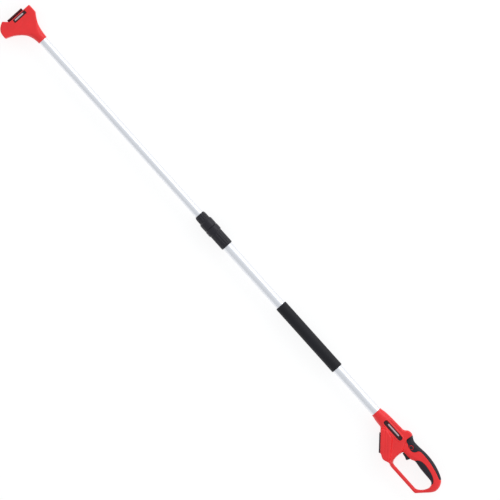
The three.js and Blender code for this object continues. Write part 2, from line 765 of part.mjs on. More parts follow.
const gripForm = () => rounded(gripShape(), GRIP_HALF_WIDTH, 6);
const handleForm = () =>
  joined(
    housingForm(),
    rounded(dockBlockShape(), HALF_WIDTH, 4),
    gripForm(),
    rounded(limbShape(), LIMB_HALF_WIDTH, 4),
    rounded(guardShape(), GUARD_HALF_WIDTH, 3),
  );

// Where the soft overmould lies: the thumb patch with the strip along the back.
function backRubberShape() {
  const shape = new THREE.Shape();
  shape.moveTo(130, 50);
  shape.lineTo(127, 15.5);
  shape.bezierCurveTo(127, 9, 132, 6.5, 138, 6.2);
  shape.bezierCurveTo(146, 5.6, 148, -3, 156, -3);
  shape.bezierCurveTo(166, -3, 172, 1, 175, 8);
  shape.bezierCurveTo(177, 14, 178, 19, 190, 20);
  shape.bezierCurveTo(220, 22, 260, 15, 285, 5);
  shape.lineTo(291, 16);
  shape.lineTo(260, 50);
  return shape;
}

// The soft insert under the fingers.
function gripRubberShape() {
  const shape = new THREE.Shape();
  shape.moveTo(194.5, -11);
  shape.bezierCurveTo(198, -3, 206, 2.8, 222, 2.8);
  shape.bezierCurveTo(250, 2.8, 284, -9, 287, -27);
  shape.lineTo(278, -30);
  shape.lineTo(200, -30);
  return shape;
}

// The grip's form as it is under the overmould.
const rubberCore = (depth) => rounded(shrunk(gripShape(), depth), GRIP_HALF_WIDTH - depth, 5);

// The soft skin inside an outline on the grip's side, and the pocket in the shell that takes it.
function rubberSkin(shape) {
  const region = plate(shape, HALF_GAP, GRIP_HALF_WIDTH + 1);
  return gripForm().intersect(region).subtract(rubberCore(RUBBER));
}

function rubberPocket(shape) {
  const region = plate(shrunk(shape, -GAP), -1, HOUSING_HALF_WIDTH + 1);
  return region.subtract(rubberCore(RUBBER + GAP));
}

function handleCavities() {
  const housing = polygon([
    [26, 18], [92, 21.5], [103.5, 23], [103.5, -17.5], [107.5, -17.5], [107.5, 29], [111, 33],
    [119, 32.5], [122, 28], [123.5, 20], [127, -6], [133, -15], [142.5, -25], [142, -52], [140, -72],
    [122, -78.5], [110, -71], [62, -18.2], [26, -17.5],
  ]);
  const grip = new THREE.Shape();
  grip.moveTo(124, 22);
  grip.lineTo(150, 21.5);
  grip.bezierCurveTo(178, 21.5, 190, 25, 207, 25);
  grip.bezierCurveTo(240, 25, 262, 17, 283, 8);
  grip.bezierCurveTo(296, 2, 301, -12, 301, -24);
  grip.lineTo(290, -24);
  grip.bezierCurveTo(287, -16, 278, -12.5, 266, -12.5);
  grip.lineTo(234, -11.8);
  grip.bezierCurveTo(216, -11, 206, -8.5, 197, -8.5);
  grip.lineTo(184, -14);
  grip.lineTo(178, -17.5);
  grip.lineTo(142, -12);
  grip.lineTo(128, -4);
  const below = onDock(block(-60, 70, -60, -DOCK_RECESS - WALL, -31, 31));
  const dock = plate(shrunk(dockBlockShape(), WALL + 0.6), -1, HALF_WIDTH - 3).intersect(below);
  const front = plate(housing, -1, HOUSING_HALF_WIDTH - 3).intersect(housingTaper(WALL));
  return joined(front, plate(grip, -1, GRIP_HALF_WIDTH - 3.4), dock);
}

// Cross walls that hold the tube's end ring.
function ringWalls() {
  const front = block(103.7, 107.3, -22, 22, HALF_GAP, HOUSING_HALF_WIDTH - 1);
  const rear = block(118.6, 121.4, -22, 22, HALF_GAP, HOUSING_HALF_WIDTH - 1);
  return front.add(rear);
}

function handleShell(onRight) {
  const outer = leftHalf(handleForm());
  const hollow = cut(outer, handleCavities());
  const within = handleForm();
  const posts = HANDLE_SCREWS.map(({ place, face }) => screwPost(place, face - 1).intersect(within));
  const pivotPost = rod(4, [...PIVOT, SLOT_HALF_WIDTH + 0.2], [...PIVOT, GRIP_HALF_WIDTH - 1]);
  const filled = joined(hollow, ...posts.map(leftHalf), ringWalls(), pivotPost);
  const springSeat = rod(4, [...BUTTON, HALF_GAP], [...BUTTON, GRIP_HALF_WIDTH - 1]);
  const fitted = onRight ? filled.add(springSeat) : filled;
  const holes = HANDLE_SCREWS.map(({ place, face }) => screwHole(place, face, onRight));
  const tubeSeat = rod(LOWER_TUBE_R + GAP, [-2, 0, 0], [118, 0, 0], ROUND);
  const ringSeat = rod(RING_R + GAP, [RING_START - GAP, 0, 0], [RING_END + GAP, 0, 0], ROUND);
  const leadBore = rod(LEAD_R + 1.5, [110, 0, 0], [136, 0, 0], 24);
  const slot = polygon([[149, -40], [149, -21], [148.4, -12], [181, -7], [181, -40]]);
  const triggerSlot = plate(slot, -1, SLOT_HALF_WIDTH);
  const pinHole = rod(PIN_R + GAP, [...PIVOT, 0], [...PIVOT, 12.2]);
  const dockRecess = onDock(block(-25, 60, -DOCK_RECESS, 20, -30, 30));
  const badge = plate(shrunk(HANDLE_BADGE, -GAP), HOUSING_HALF_WIDTH - BADGE_DEPTH - GAP, HALF_WIDTH);
  const pockets = [rubberPocket(backRubberShape()), rubberPocket(gripRubberShape())];
  const openings = [tubeSeat, ringSeat, leadBore, triggerSlot, pinHole, dockRecess, badge];
  openings.push(...holes, ...pockets);
  if (!onRight) openings.push(rod(BUTTON_R + GAP, [...BUTTON, 8], [...BUTTON, 30], 28));
  return leftHalf(cut(fitted, ...openings));
}

function trigger() {
  const shape = new THREE.Shape();
  shape.moveTo(150.2, -20);
  shape.lineTo(151, -26);
  shape.bezierCurveTo(157, -27.2, 166, -28.5, 171.5, -31);
  shape.quadraticCurveTo(174, -31.5, 175.2, -29);
  shape.lineTo(179.5, -19.5);
  shape.lineTo(178, -15);
  shape.lineTo(160, -11.8);
  shape.lineTo(152, -11.5);
  shape.quadraticCurveTo(150.2, -13, 150.2, -20);
  const body = plate(shape, -TRIGGER_HALF_WIDTH, TRIGGER_HALF_WIDTH);
  return body.subtract(rod(PIN_R + GAP, [...PIVOT, -20], [...PIVOT, 20]));
}

function lockButton() {
  const cap = rod(BUTTON_R, [...BUTTON, BUTTON_TOP], [...BUTTON, BUTTON_TOP - BUTTON_CAP], 28);
  return cap.add(rod(2.4, [...BUTTON, BUTTON_TOP - BUTTON_CAP + 0.2], [...BUTTON, BUTTON_TRAVEL]));
}

// The tool's own half of the battery slide: a floor with two undercut rails.
const DOCK_FLOOR = -3;
const DOCK_PROUD = 3;
const LIP_HALF_GAP = 20.5;
function batteryDock() {
  const floor = block(-24.7, 38, -DOCK_RECESS + GAP, DOCK_FLOOR, -29.7, 29.7);
  const walls = [-1, 1].map((side) => {
    const z0 = Math.min(side * 25.5, side * 29.7);
    const wall = block(-24.7, 38, DOCK_FLOOR - 1, DOCK_PROUD, z0, z0 + 4.2);
    const lipStart = Math.min(side * LIP_HALF_GAP, side * 27);
    return wall.add(block(-24.7, 38, DOCK_PROUD - 2.2, DOCK_PROUD, lipStart, lipStart + 6.5));
  });
  const stop = block(-24.7, -20.5, DOCK_FLOOR - 1, DOCK_PROUD, -29, 29);
  const plateSolid = joined(floor, ...walls, stop);
  return onDock(plateSolid.subtract(block(-18, -4, -10, 10, -13.3, 13.3)));
}

function terminalBlock() {
  const base = block(-17.7, -4.3, -DOCK_RECESS + GAP, 2, -13, 13);
  const slots = [-8, 0, 8].map((z) => block(-13.3, 0, -DOCK_FLOOR - 4, 3, z - 0.9, z + 0.9));
  return onDock(cut(base, ...slots));
}

const terminalBlade = (z) => onDock(block(-13, 3, -0.7, 1.6, z - 0.5, z + 0.5));

function switchBlock() {
  return block(164, 193, -3, 9, -7, 7).add(rod(1.5, [179, -2, 0], [179, -8.6, 0]));
}

function buildHandle() {
  const handle = new THREE.Group();
  handle.position.x = MOUTH_X;
  addNode(handle, "handle_shell_left", handleShell(false), "red");
  addNode(handle, "handle_shell_right", handleShell(true), "red", true);
  const backRubber = rubberSkin(backRubberShape());
  const buttonHole = rod(BUTTON_R + GAP, [...BUTTON, 8], [...BUTTON, 30], 28);
  addNode(handle, "back_rubber_left", backRubber.subtract(buttonHole), "rubber");
  addNode(handle, "back_rubber_right", backRubber, "rubber", true);
  const gripRubber = rubberSkin(gripRubberShape());
  addNode(handle, "finger_rubber_left", gripRubber, "rubber");
  addNode(handle, "finger_rubber_right", gripRubber, "rubber", true);
  const badge = plate(HANDLE_BADGE, HOUSING_HALF_WIDTH - BADGE_DEPTH, HOUSING_HALF_WIDTH - 0.1);
  addNode(handle, "handle_badge_left", badge, "badge");
  addNode(handle, "handle_badge_right", badge, "badge", true);
  addNode(handle, "battery_dock", batteryDock(), "black");
  addNode(handle, "battery_terminal_block", terminalBlock(), "black");
  addNode(handle, "terminal_blade_left", terminalBlade(8), "brass");
  addNode(handle, "terminal_blade_middle", terminalBlade(0), "brass");
  addNode(handle, "terminal_blade_right", terminalBlade(-8), "brass");
  addNode(handle, "switch_block", switchBlock(), "black");
  addNode(handle, "trigger", trigger(), "black");
  addNode(handle, "trigger_pin", rod(PIN_R, [...PIVOT, -12], [...PIVOT, 12]), "steel");
  addNode(handle, "trigger_spring", springSleeve(1.8, 2.6, [169, -12.6, 0], [169, -3.3, 0]), "steel");
  addNode(handle, "lock_off_button", lockButton(), "rubber");
  const springTop = BUTTON_TOP - BUTTON_CAP - GAP;
  const lockSpring = springSleeve(2.8, 3.7, [...BUTTON, GAP], [...BUTTON, springTop]);
  addNode(handle, "lock_off_spring", lockSpring, "steel");
  const endRing = pipe(RING_START, RING_END, LOWER_TUBE_R + GAP, RING_R);
  addNode(handle, "tube_end_ring", endRing, "black");
  HANDLE_SCREWS.forEach(({ place, face }, i) =>
    addNode(handle, `handle_screw_${i + 1}`, screw(place, face), "steel"));
  const wireRoute = [[127.8, 0, 0], [140, -2, -4.5], [155, -2.5, -5], [163.5, 0, -4]];
  addNode(handle, "switch_wire", wire(wireRoute), "black");
  return handle;
}

// ---- whole pole ---------------------------------------------------------------------------------
function buildPole() {
  const pole = new THREE.Group();
  addNode(pole, "upper_tube", upperTube(), "aluminium");
  addNode(pole, "guide_bush", guideBush(), "black");
  addNode(pole, "lower_tube", lowerTube(), "aluminium");
  addNode(pole, "foam_grip", foamGrip(), "foam");
  addNode(pole, "collar_nut", collarNut(), "black");
  addNode(pole, "collar_body", collarBody(), "black");
  addNode(pole, "collar_collet", collet(), "black");
  const leadEnds = [[NECK_X - 98, 0, 0], [MOUTH_X + 127, 0, 0]];
  addNode(pole, "coiled_lead", rod(LEAD_R, ...leadEnds, 16), "rubber");
  pole.add(buildHead(), buildHandle());
  return pole;
}

// The pole lies on its right side, its lowest faces at z = 0, centred on the origin in X and Y.
const part = new THREE.Group();
const pole = buildPole();
pole.position.set(
  (HEAD_REACH - NECK_X - MOUTH_X - HANDLE_LENGTH) / 2,
  (HEAD_FOOT - HEAD_TOP) / 2,
  HALF_WIDTH,
);
part.add(pole);

export default part;
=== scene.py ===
"""Telescopic extension pole for a cordless garden tool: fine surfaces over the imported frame.

The pole lies along X on its right side (-Z). Moulded shells are made as smooth fields in millimetres
and turned into meshes; turned parts are made from their profiles.
"""
import json
import math

import bmesh
import bpy
import numpy as np
from mathutils import Matrix, Vector


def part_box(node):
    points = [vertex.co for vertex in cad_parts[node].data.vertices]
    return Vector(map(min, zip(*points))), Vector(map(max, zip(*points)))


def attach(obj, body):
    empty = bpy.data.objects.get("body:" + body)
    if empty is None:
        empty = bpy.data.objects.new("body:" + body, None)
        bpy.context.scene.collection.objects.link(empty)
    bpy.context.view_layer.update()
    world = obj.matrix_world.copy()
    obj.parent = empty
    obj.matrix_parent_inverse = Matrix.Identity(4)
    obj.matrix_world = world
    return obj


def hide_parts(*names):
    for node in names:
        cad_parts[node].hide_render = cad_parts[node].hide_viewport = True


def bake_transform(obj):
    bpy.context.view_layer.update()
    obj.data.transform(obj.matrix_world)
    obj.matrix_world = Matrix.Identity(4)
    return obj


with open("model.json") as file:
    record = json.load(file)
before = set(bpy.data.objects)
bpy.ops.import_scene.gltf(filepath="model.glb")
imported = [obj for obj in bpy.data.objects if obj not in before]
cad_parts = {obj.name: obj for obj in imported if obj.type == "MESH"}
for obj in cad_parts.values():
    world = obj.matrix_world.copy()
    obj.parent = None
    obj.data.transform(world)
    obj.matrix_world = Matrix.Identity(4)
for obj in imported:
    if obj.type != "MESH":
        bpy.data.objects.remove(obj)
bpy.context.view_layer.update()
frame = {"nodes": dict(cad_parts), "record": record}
nodes = frame["nodes"]
MM = 0.001

# Places on the frame, in millimetres.
tube_low, tube_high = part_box("lower_tube")
AXIS_Y = 500 * (tube_low.y + tube_high.y)
AXIS_Z = 500 * (tube_low.z + tube_high.z)
NECK_X = 1000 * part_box("upper_tube")[0].x + 60
MOUTH_X = 1000 * tube_high.x - 118


# ---- fields and surfaces ---------------------------------------------------------------------------
def path_points(*steps, density=14):
    """A closed outline: each step is a point, or the controls and end of a curve from the last point."""
    points = []
    for step in steps:
        step = np.array(step, float).reshape(-1, 2)
        if len(step) == 1:
            points.append(step[0])
            continue
        start = points[-1]
        t = np.linspace(0, 1, density + 1)[1:, None]
        if len(step) == 2:
            curve = (1 - t) ** 2 * start + 2 * t * (1 - t) * step[0] + t**2 * step[1]
        else:
            curve = (1 - t) ** 3 * start + 3 * t * (1 - t) ** 2 * step[0]
            curve = curve + 3 * t**2 * (1 - t) * step[1] + t**3 * step[2]
        points.extend(curve)
    return np.array(points)


def inside(polygon, x, y):
    found = np.zeros(x.shape, bool)
    for (ax, ay), (bx, by) in zip(polygon, np.roll(polygon, -1, 0)):
        if ay == by:
            continue
        crosses = (ay > y) != (by > y)
        found ^= crosses & (x < ax + (y - ay) * (bx - ax) / (by - ay))
    return found


def distance_to(polygon, x, y):
    """Signed distance to a closed outline, negative inside."""
    best = np.full(x.shape, 1e9)
    for (ax, ay), (bx, by) in zip(polygon, np.roll(polygon, -1, 0)):
        ex, ey = bx - ax, by - ay
        size = ex * ex + ey * ey
        if size < 1e-9:
            continue
        t = np.clip(((x - ax) * ex + (y - ay) * ey) / size, 0, 1)
        best = np.minimum(best, (x - ax - t * ex) ** 2 + (y - ay - t * ey) ** 2)
    return np.sqrt(best) * np.where(inside(polygon, x, y), -1, 1)


class Map:
    """Numbers on a flat grid, read between grid points in straight lines."""

    def __init__(self, low, high, step):
        self.low, self.step = np.array(low, float), step
        counts = np.ceil((np.array(high) - low) / step).astype(int) + 1
        self.x, self.y = np.meshgrid(*[l + step * np.arange(n) for l, n in zip(low, counts)], indexing="ij")

    def reader(self, values):
        def read(x, y):
            u = np.clip((x - self.low[0]) / self.step, 0, values.shape[0] - 1.001)
            v = np.clip((y - self.low[1]) / self.step, 0, values.shape[1] - 1.001)
            i, j = u.astype(int), v.astype(int)
            u, v = u - i, v - j
            left = values[i, j] * (1 - v) + values[i, j + 1] * v
            right = values[i + 1, j] * (1 - v) + values[i + 1, j + 1] * v
            return left * (1 - u) + right * u

        return read

    def outline(self, polygon):
        return distance_to(polygon, self.x, self.y)

    def blurred(self, values, sigma):
        reach = int(math.ceil(3 * sigma / self.step))
        weights = np.exp(-0.5 * (np.arange(-reach, reach + 1) * self.step / sigma) ** 2)
        weights /= weights.sum()
        for axis in (0, 1):
            pad = [(reach, reach) if a == axis else (0, 0) for a in (0, 1)]
            padded = np.pad(values, pad, mode="edge")
            size = values.shape[axis]
            values = sum(w * padded.take(range(k, k + size), axis) for k, w in enumerate(weights))
        return values


def smooth_max(a, b, k):
    h = np.clip(0.5 + 0.5 * (a - b) / k, 0, 1)
    return b + (a - b) * h + k * h * (1 - h)


def smooth_step(t):
    t = np.clip(t, 0, 1)
    return t * t * (3 - 2 * t)


def without(a, b, k=0.8):
    return smooth_max(a, -b, k)


def thick(side, z, half, edge):
    """A flat outline's distance, thickened to half each way with rounded edges."""
    a, b = side + edge, np.abs(z) - half + edge
    return np.hypot(np.maximum(a, 0), np.maximum(b, 0)) + np.minimum(np.maximum(a, b), 0) - edge


def surface(field, low, high, step, name):
    """The mesh where field(x, y, z) is nought, with its corners moved onto the field."""
    low = np.array(low, float)
    counts = np.ceil((np.array(high) - low) / step).astype(int) + 1
    axes = [l + step * np.arange(n) for l, n in zip(low, counts)]
    grid = np.meshgrid(*axes, indexing="ij")
    values = field(*[g.ravel() for g in grid]).reshape(counts).astype(np.float32)
    full = values < 0
    cells = tuple(c - 1 for c in counts)
    total = np.zeros(cells, np.int8)
    corners = [(i, j, k) for i in (0, 1) for j in (0, 1) for k in (0, 1)]
    at = lambda a, c: a[c[0]:c[0] + cells[0], c[1]:c[1] + cells[1], c[2]:c[2] + cells[2]]
    for c in corners:
        total += at(full, c)
    active = (total > 0) & (total < 8)
    where = np.argwhere(active)
    number = np.full(cells, -1, np.int64)
    number[active] = np.arange(len(where))
    places = np.zeros((len(where), 3))
    crossed = np.zeros(len(where))
    for c in corners:
        for axis in range(3):
            if c[axis]:
                continue
            d = list(c)
            d[axis] = 1
            a = at(values, c)[active]
            b = at(values, tuple(d))[active]
            cut = (a < 0) != (b < 0)
            t = np.where(cut, a / np.where(cut, a - b, 1), 0)
            point = np.array(c, float) + np.zeros((len(where), 1))
            point[:, axis] += t
            places += point * cut[:, None]
            crossed += cut
    places = low + step * (where + places / crossed[:, None])
    quads = []
    for axis in range(3):
        u, v = [(1, 2), (2, 0), (0, 1)][axis]
        near = [slice(None)] * 3
        far = [slice(None)] * 3
        near[axis], far[axis] = slice(0, -1), slice(1, None)
        starts, ends = full[tuple(near)], full[tuple(far)]
        for flip in (False, True):
            hit = np.argwhere((starts & ~ends) if not flip else (~starts & ends))
            hit = hit[(hit[:, u] > 0) & (hit[:, v] > 0)]
            hit = hit[(hit[:, u] < counts[u] - 1) & (hit[:, v] < counts[v] - 1)]
            ring = []
            for du, dv in ((-1, -1), (0, -1), (0, 0), (-1, 0)):
                cell = hit.copy()
                cell[:, u] += du
                cell[:, v] += dv
                ring.append(number[cell[:, 0], cell[:, 1], cell[:, 2]])
            ring = np.stack(ring, 1)
            quads.append(ring[:, ::-1] if flip else ring)
    quads = np.concatenate(quads)
    start = places.copy()
    for _ in range(4):
        f = field(*places.T)
        h = 0.05
        slope = []
        for axis in range(3):
            shifted = places.copy()
            shifted[:, axis] += h
            slope.append((field(*shifted.T) - f) / h)
        slope = np.stack(slope, 1)
        move = -f[:, None] * slope / np.maximum((slope**2).sum(1), 0.25)[:, None]
        places = start + np.clip(places + 0.9 * move - start, -0.7 * step, 0.7 * step)
    return made(name, places, quads)


def made(name, places, faces):
    """An object from places in millimetres."""
    mesh = bpy.data.meshes.new(name)
    mesh.from_pydata((np.asarray(places, float) * MM).tolist(), [], [list(map(int, f)) for f in faces])
    mesh.polygons.foreach_set("use_smooth", [True] * len(mesh.polygons))
    piece = bpy.data.objects.new(name, mesh)
    bpy.context.scene.collection.objects.link(piece)
    return piece


def placed(piece, x=0.0, y=0.0, z=0.0):
    piece.data.transform(Matrix.Translation((x * MM, y * MM, z * MM)))
    return piece


# ---- turned parts -----------------------------------------------------------------------------------
def lathe(name, profile, sides=96, ribs=None, sharp=35):
    """A part turned round X from a closed profile of (x, radius). ribs(x, r, angles) gives the radii."""
    angles = np.linspace(0, 2 * math.pi, sides, endpoint=False)
    rows = []
    for x, r in profile:
        radii = ribs(x, r, angles) if ribs else np.full(sides, float(r))
        rows.append(np.stack([np.full(sides, float(x)), radii * np.cos(angles), radii * np.sin(angles)], 1))
    places = np.concatenate(rows)
    n = len(profile)
    faces = []
    for i in range(n):
        j = (i + 1) % n
        for k in range(sides):
            m = (k + 1) % sides
            faces.append((i * sides + k, i * sides + m, j * sides + m, j * sides + k))
    piece = made(name, places, faces)
    tidy(piece, sharp)
    return piece


def tidy(piece, sharp=35):
    """Faces point outwards, and edges over an angle are drawn sharp."""
    shape = bmesh.new()
    shape.from_mesh(piece.data)
    bmesh.ops.remove_doubles(shape, verts=shape.verts, dist=1e-6)
    bmesh.ops.recalc_face_normals(shape, faces=shape.faces)
    limit = math.radians(sharp)
    for edge in shape.edges:
        edge.smooth = not (edge.is_manifold and edge.calc_face_angle(0) > limit)
    for face in shape.faces:
        face.smooth = True
    shape.to_mesh(piece.data)
    shape.free()


def rounded_profile(points, radius=0.6, steps=3):
    """The same closed profile with its corners rounded off."""
    points = [np.array(p, float) for p in points]
    out = []
    for i, p in enumerate(points):
        a, b = points[i - 1] - p, points[(i + 1) % len(points)] - p
        la, lb = np.hypot(*a), np.hypot(*b)
        r = min(radius, 0.45 * la, 0.45 * lb)
        if r < 0.02 or abs(np.cross(a / la, b / lb)) < 0.05:
            out.append(p)
            continue
        start, end = p + a / la * r, p + b / lb * r
        for k in range(steps + 1):
            t = k / steps
            out.append((1 - t) ** 2 * start + 2 * t * (1 - t) * p + t * t * end)
    return out


# ---- small moulded parts ----------------------------------------------------------------------------
def bevelled(piece, width, segments=3, limit=28):
    modifier = piece.modifiers.new("edges", "BEVEL")
    modifier.width = width * MM
    modifier.segments = segments
    modifier.limit_method = "ANGLE"
    modifier.angle_limit = math.radians(limit)
    modifier.harden_normals = True
    modifier.use_clamp_overlap = True
    depsgraph = bpy.context.evaluated_depsgraph_get()
    mesh = bpy.data.meshes.new_from_object(piece.evaluated_get(depsgraph))
    piece.modifiers.clear()
    piece.data = mesh
    return piece


def plate(name, outline, z0, z1, width=0.8, segments=3):
    """A flat outline thickened from z0 to z1, with rounded edges."""
    shape = bmesh.new()
    low = [shape.verts.new((x * MM, y * MM, z0 * MM)) for x, y in outline]
    face = shape.faces.new(low)
    grown = bmesh.ops.extrude_face_region(shape, geom=[face])
    top = [v for v in grown["geom"] if isinstance(v, bmesh.types.BMVert)]
    bmesh.ops.translate(shape, verts=top, vec=(0, 0, (z1 - z0) * MM))
    bmesh.ops.recalc_face_normals(shape, faces=shape.faces)
    mesh = bpy.data.meshes.new(name)
    shape.to_mesh(mesh)
    shape.free()
    piece = bpy.data.objects.new(name, mesh)
    bpy.context.scene.collection.objects.link(piece)
    for polygon in mesh.polygons:
        polygon.use_smooth = True
    return bevelled(piece, width, segments)


def refined(node, width=0.5, segments=2):
    """A CAD node's own shape with its facets merged and its edges rounded."""
    piece = nodes[node].copy()
    piece.data = nodes[node].data.copy()
    piece.name = node + ".fine"
    for key in list(piece.keys()):
        del piece[key]
    piece.parent = None
    bpy.context.scene.collection.objects.link(piece)
    shape = bmesh.new()
    shape.from_mesh(piece.data)
    bmesh.ops.remove_doubles(shape, verts=shape.verts, dist=2e-6)
    bmesh.ops.dissolve_limit(shape, angle_limit=math.radians(1), verts=shape.verts, edges=shape.edges)
    bmesh.ops.recalc_face_normals(shape, faces=shape.faces)
    for face in shape.faces:
        face.smooth = True
    shape.to_mesh(piece.data)
    shape.free()
    piece.data.materials.clear()
    return bevelled(piece, width, segments)


def sweep(name, points, radius, sides=10):
    """A round wire along points."""
    points = np.array(points, float)
    tangent = np.gradient(points, axis=0)
    tangent /= np.linalg.norm(tangent, axis=1)[:, None]
    normal = np.cross(tangent[0], (0.3, 0.2, 0.9))
    rows = []
    for p, t in zip(points, tangent):
        normal = normal - t * normal.dot(t)
        normal /= np.linalg.norm(normal)
        side = np.cross(t, normal)
        angles = np.linspace(0, 2 * math.pi, sides, endpoint=False)[:, None]
        rows.append(p + radius * (np.cos(angles) * normal + np.sin(angles) * side))
    n = len(rows)
    faces = []
    for i in range(n - 1):
        for k in range(sides):
            m = (k + 1) % sides
            faces.append((i * sides + k, i * sides + m, (i + 1) * sides + m, (i + 1) * sides + k))
    faces.append(tuple(range(sides)))
    faces.append(tuple((n - 1) * sides + k for k in reversed(range(sides))))
    piece = made(name, np.concatenate(rows), faces)
    tidy(piece, 60)
    return piece


def coil(start, end, radius, turns, per_turn=16):
    """Points of a helix between two places."""
    start, end = np.array(start, float), np.array(end, float)
    along = (end - start) / np.linalg.norm(end - start)
    side = np.cross(along, (0.1, 0.3, 0.95))
    side /= np.linalg.norm(side)
    other = np.cross(along, side)
    t = np.linspace(0, 1, int(turns * per_turn) + 1)[:, None]
    angle = 2 * math.pi * turns * t
    return start + (end - start) * t + radius * (np.cos(angle) * side + np.sin(angle) * other)


# ---- materials --------------------------------------------------------------------------------------
def new_material(name, color, roughness, metallic=0.0, coat=0.0, specular=0.5):
    material = bpy.data.materials.new(name)
    material.use_nodes = True
    shader = material.node_tree.nodes["Principled BSDF"]
    shader.inputs["Base Color"].default_value = (*color, 1)
    shader.inputs["Roughness"].default_value = roughness
    shader.inputs["Metallic"].default_value = metallic
    shader.inputs["Coat Weight"].default_value = coat
    shader.inputs["Coat Roughness"].default_value = 0.25
    shader.inputs["Specular IOR Level"].default_value = specular
    return material, material.node_tree, shader


def noise(tree, scale, detail=3.0, stretch=None):
    coords = tree.nodes.new("ShaderNodeTexCoord")
    texture = tree.nodes.new("ShaderNodeTexNoise")
    texture.inputs["Scale"].default_value = scale
    texture.inputs["Detail"].default_value = detail
    if stretch is None:
        tree.links.new(coords.outputs["Object"], texture.inputs["Vector"])
        return texture.outputs["Fac"]
    mapping = tree.nodes.new("ShaderNodeMapping")
    mapping.inputs["Scale"].default_value = stretch
    tree.links.new(coords.outputs["Object"], mapping.inputs["Vector"])
    tree.links.new(mapping.outputs["Vector"], texture.inputs["Vector"])
    return texture.outputs["Fac"]


def vary(tree, source, target, low, high):
    spread = tree.nodes.new("ShaderNodeMapRange")
    spread.inputs["From Min"].default_value = 0.3
    spread.inputs["From Max"].default_value = 0.7
    spread.inputs["To Min"].default_value = low
    spread.inputs["To Max"].default_value = high
    tree.links.new(source, spread.inputs["Value"])
    tree.links.new(spread.outputs["Result"], target)


def tint(tree, source, target, low, high):
    ramp = tree.nodes.new("ShaderNodeValToRGB")
    ramp.color_ramp.elements[0].position = 0.3
    ramp.color_ramp.elements[0].color = (*low, 1)
    ramp.color_ramp.elements[1].position = 0.7
    ramp.color_ramp.elements[1].color = (*high, 1)
    tree.links.new(source, ramp.inputs["Fac"])
    tree.links.new(ramp.outputs["Color"], target)


def bump(tree, shader, source, strength, distance):
    node = tree.nodes.new("ShaderNodeBump")
    node.inputs["Strength"].default_value = strength
    node.inputs["Distance"].default_value = distance
    tree.links.new(source, node.inputs["Height"])
    tree.links.new(node.outputs["Normal"], shader.inputs["Normal"])


def moulded(name, color, roughness, grain=900, depth=0.00006, coat=0.0, spread=0.06, specular=0.5):
    """Moulded plastic or rubber: a fine grain, with slow changes in colour and gloss."""
    material, tree, shader = new_material(name, color, roughness, coat=coat, specular=specular)
    slow = noise(tree, 22, 4)
    low = tuple(c * (1 - spread) for c in color)
    high = tuple(min(1, c * (1 + spread)) for c in color)
    tint(tree, slow, shader.inputs["Base Color"], low, high)
    fine = noise(tree, grain, 2)
    vary(tree, slow, shader.inputs["Roughness"], roughness * 0.9, roughness * 1.12)
    bump(tree, shader, fine, 0.5, depth)
    return material


RED = moulded("red_shell", (0.86, 0.020, 0.023), 0.36, coat=0.1, specular=0.4)
# Painted shade: this dark red is the red shell's colour darkened to stand for the shade along the head's
# dock rails.
PAINTED_SHADE_RED = moulded("dark_red", (0.10, 0.006, 0.012), 0.42, specular=0.3)
BLACK = moulded("black_plastic", (0.011, 0.010, 0.016), 0.38, specular=0.35)
RUBBER = moulded(
    "soft_rubber", (0.014, 0.012, 0.020), 0.46, grain=1600, depth=0.00012, spread=0.12, specular=0.3
)
FOAM = moulded("foam", (0.0075, 0.0075, 0.011), 0.6, grain=1400, depth=0.0003, spread=0.2, specular=0.3)
PLATE_BLACK = moulded("nameplate", (0.035, 0.006, 0.010), 0.3, grain=500, depth=0.00001, specular=0.3)
PALE = moulded("pale_inlay", (0.55, 0.42, 0.44), 0.4, grain=500, depth=0.00001, specular=0.3)
SHEATH = moulded("lead", (0.012, 0.012, 0.014), 0.45, specular=0.3)


def anodised():
    material, tree, shader = new_material("aluminium", (0.86, 0.87, 0.90), 0.3, metallic=1.0)
    streaks = noise(tree, 60, 3, stretch=(0.3, 14, 14))
    vary(tree, streaks, shader.inputs["Roughness"], 0.34, 0.44)
    tint(tree, streaks, shader.inputs["Base Color"], (0.83, 0.84, 0.88), (0.89, 0.90, 0.93))
    bump(tree, shader, streaks, 0.15, 0.00003)
    return material


def plated(name, color, roughness):
    material, tree, shader = new_material(name, color, roughness, metallic=1.0)
    spots = noise(tree, 300, 3)
    vary(tree, spots, shader.inputs["Roughness"], roughness * 0.8, roughness * 1.3)
    bump(tree, shader, spots, 0.1, 0.00002)
    return material


ALUMINIUM = anodised()
STEEL = plated("steel", (0.55, 0.55, 0.57), 0.3)
BRASS = plated("brass", (0.80, 0.56, 0.22), 0.25)
FINISH = {
    "red_shell": RED,
    "dark_red": PAINTED_SHADE_RED,
    "black_plastic": BLACK,
    "soft_rubber": RUBBER,
    "foam": FOAM,
    "nameplate": PLATE_BLACK,
    "lead": SHEATH,
    "aluminium": ALUMINIUM,
    "steel": STEEL,
    "brass": BRASS,
}
BODY_OF = {n: body for body, members in frame["record"]["behaviour"]["bodies"].items() for n in members}
SLOT_OF = {entry["node"]: entry["material_slot"] for entry in frame["record"]["subparts"]}


def stands_for(piece, node, material=None, ride=True):
    """The piece replaces a CAD node, with its body, slot and finish."""
    piece.data.materials.clear()
    piece.data.materials.append(material or FINISH[SLOT_OF[node]])
    if ride:
        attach(piece, BODY_OF[node])
    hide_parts(node)
    return piece


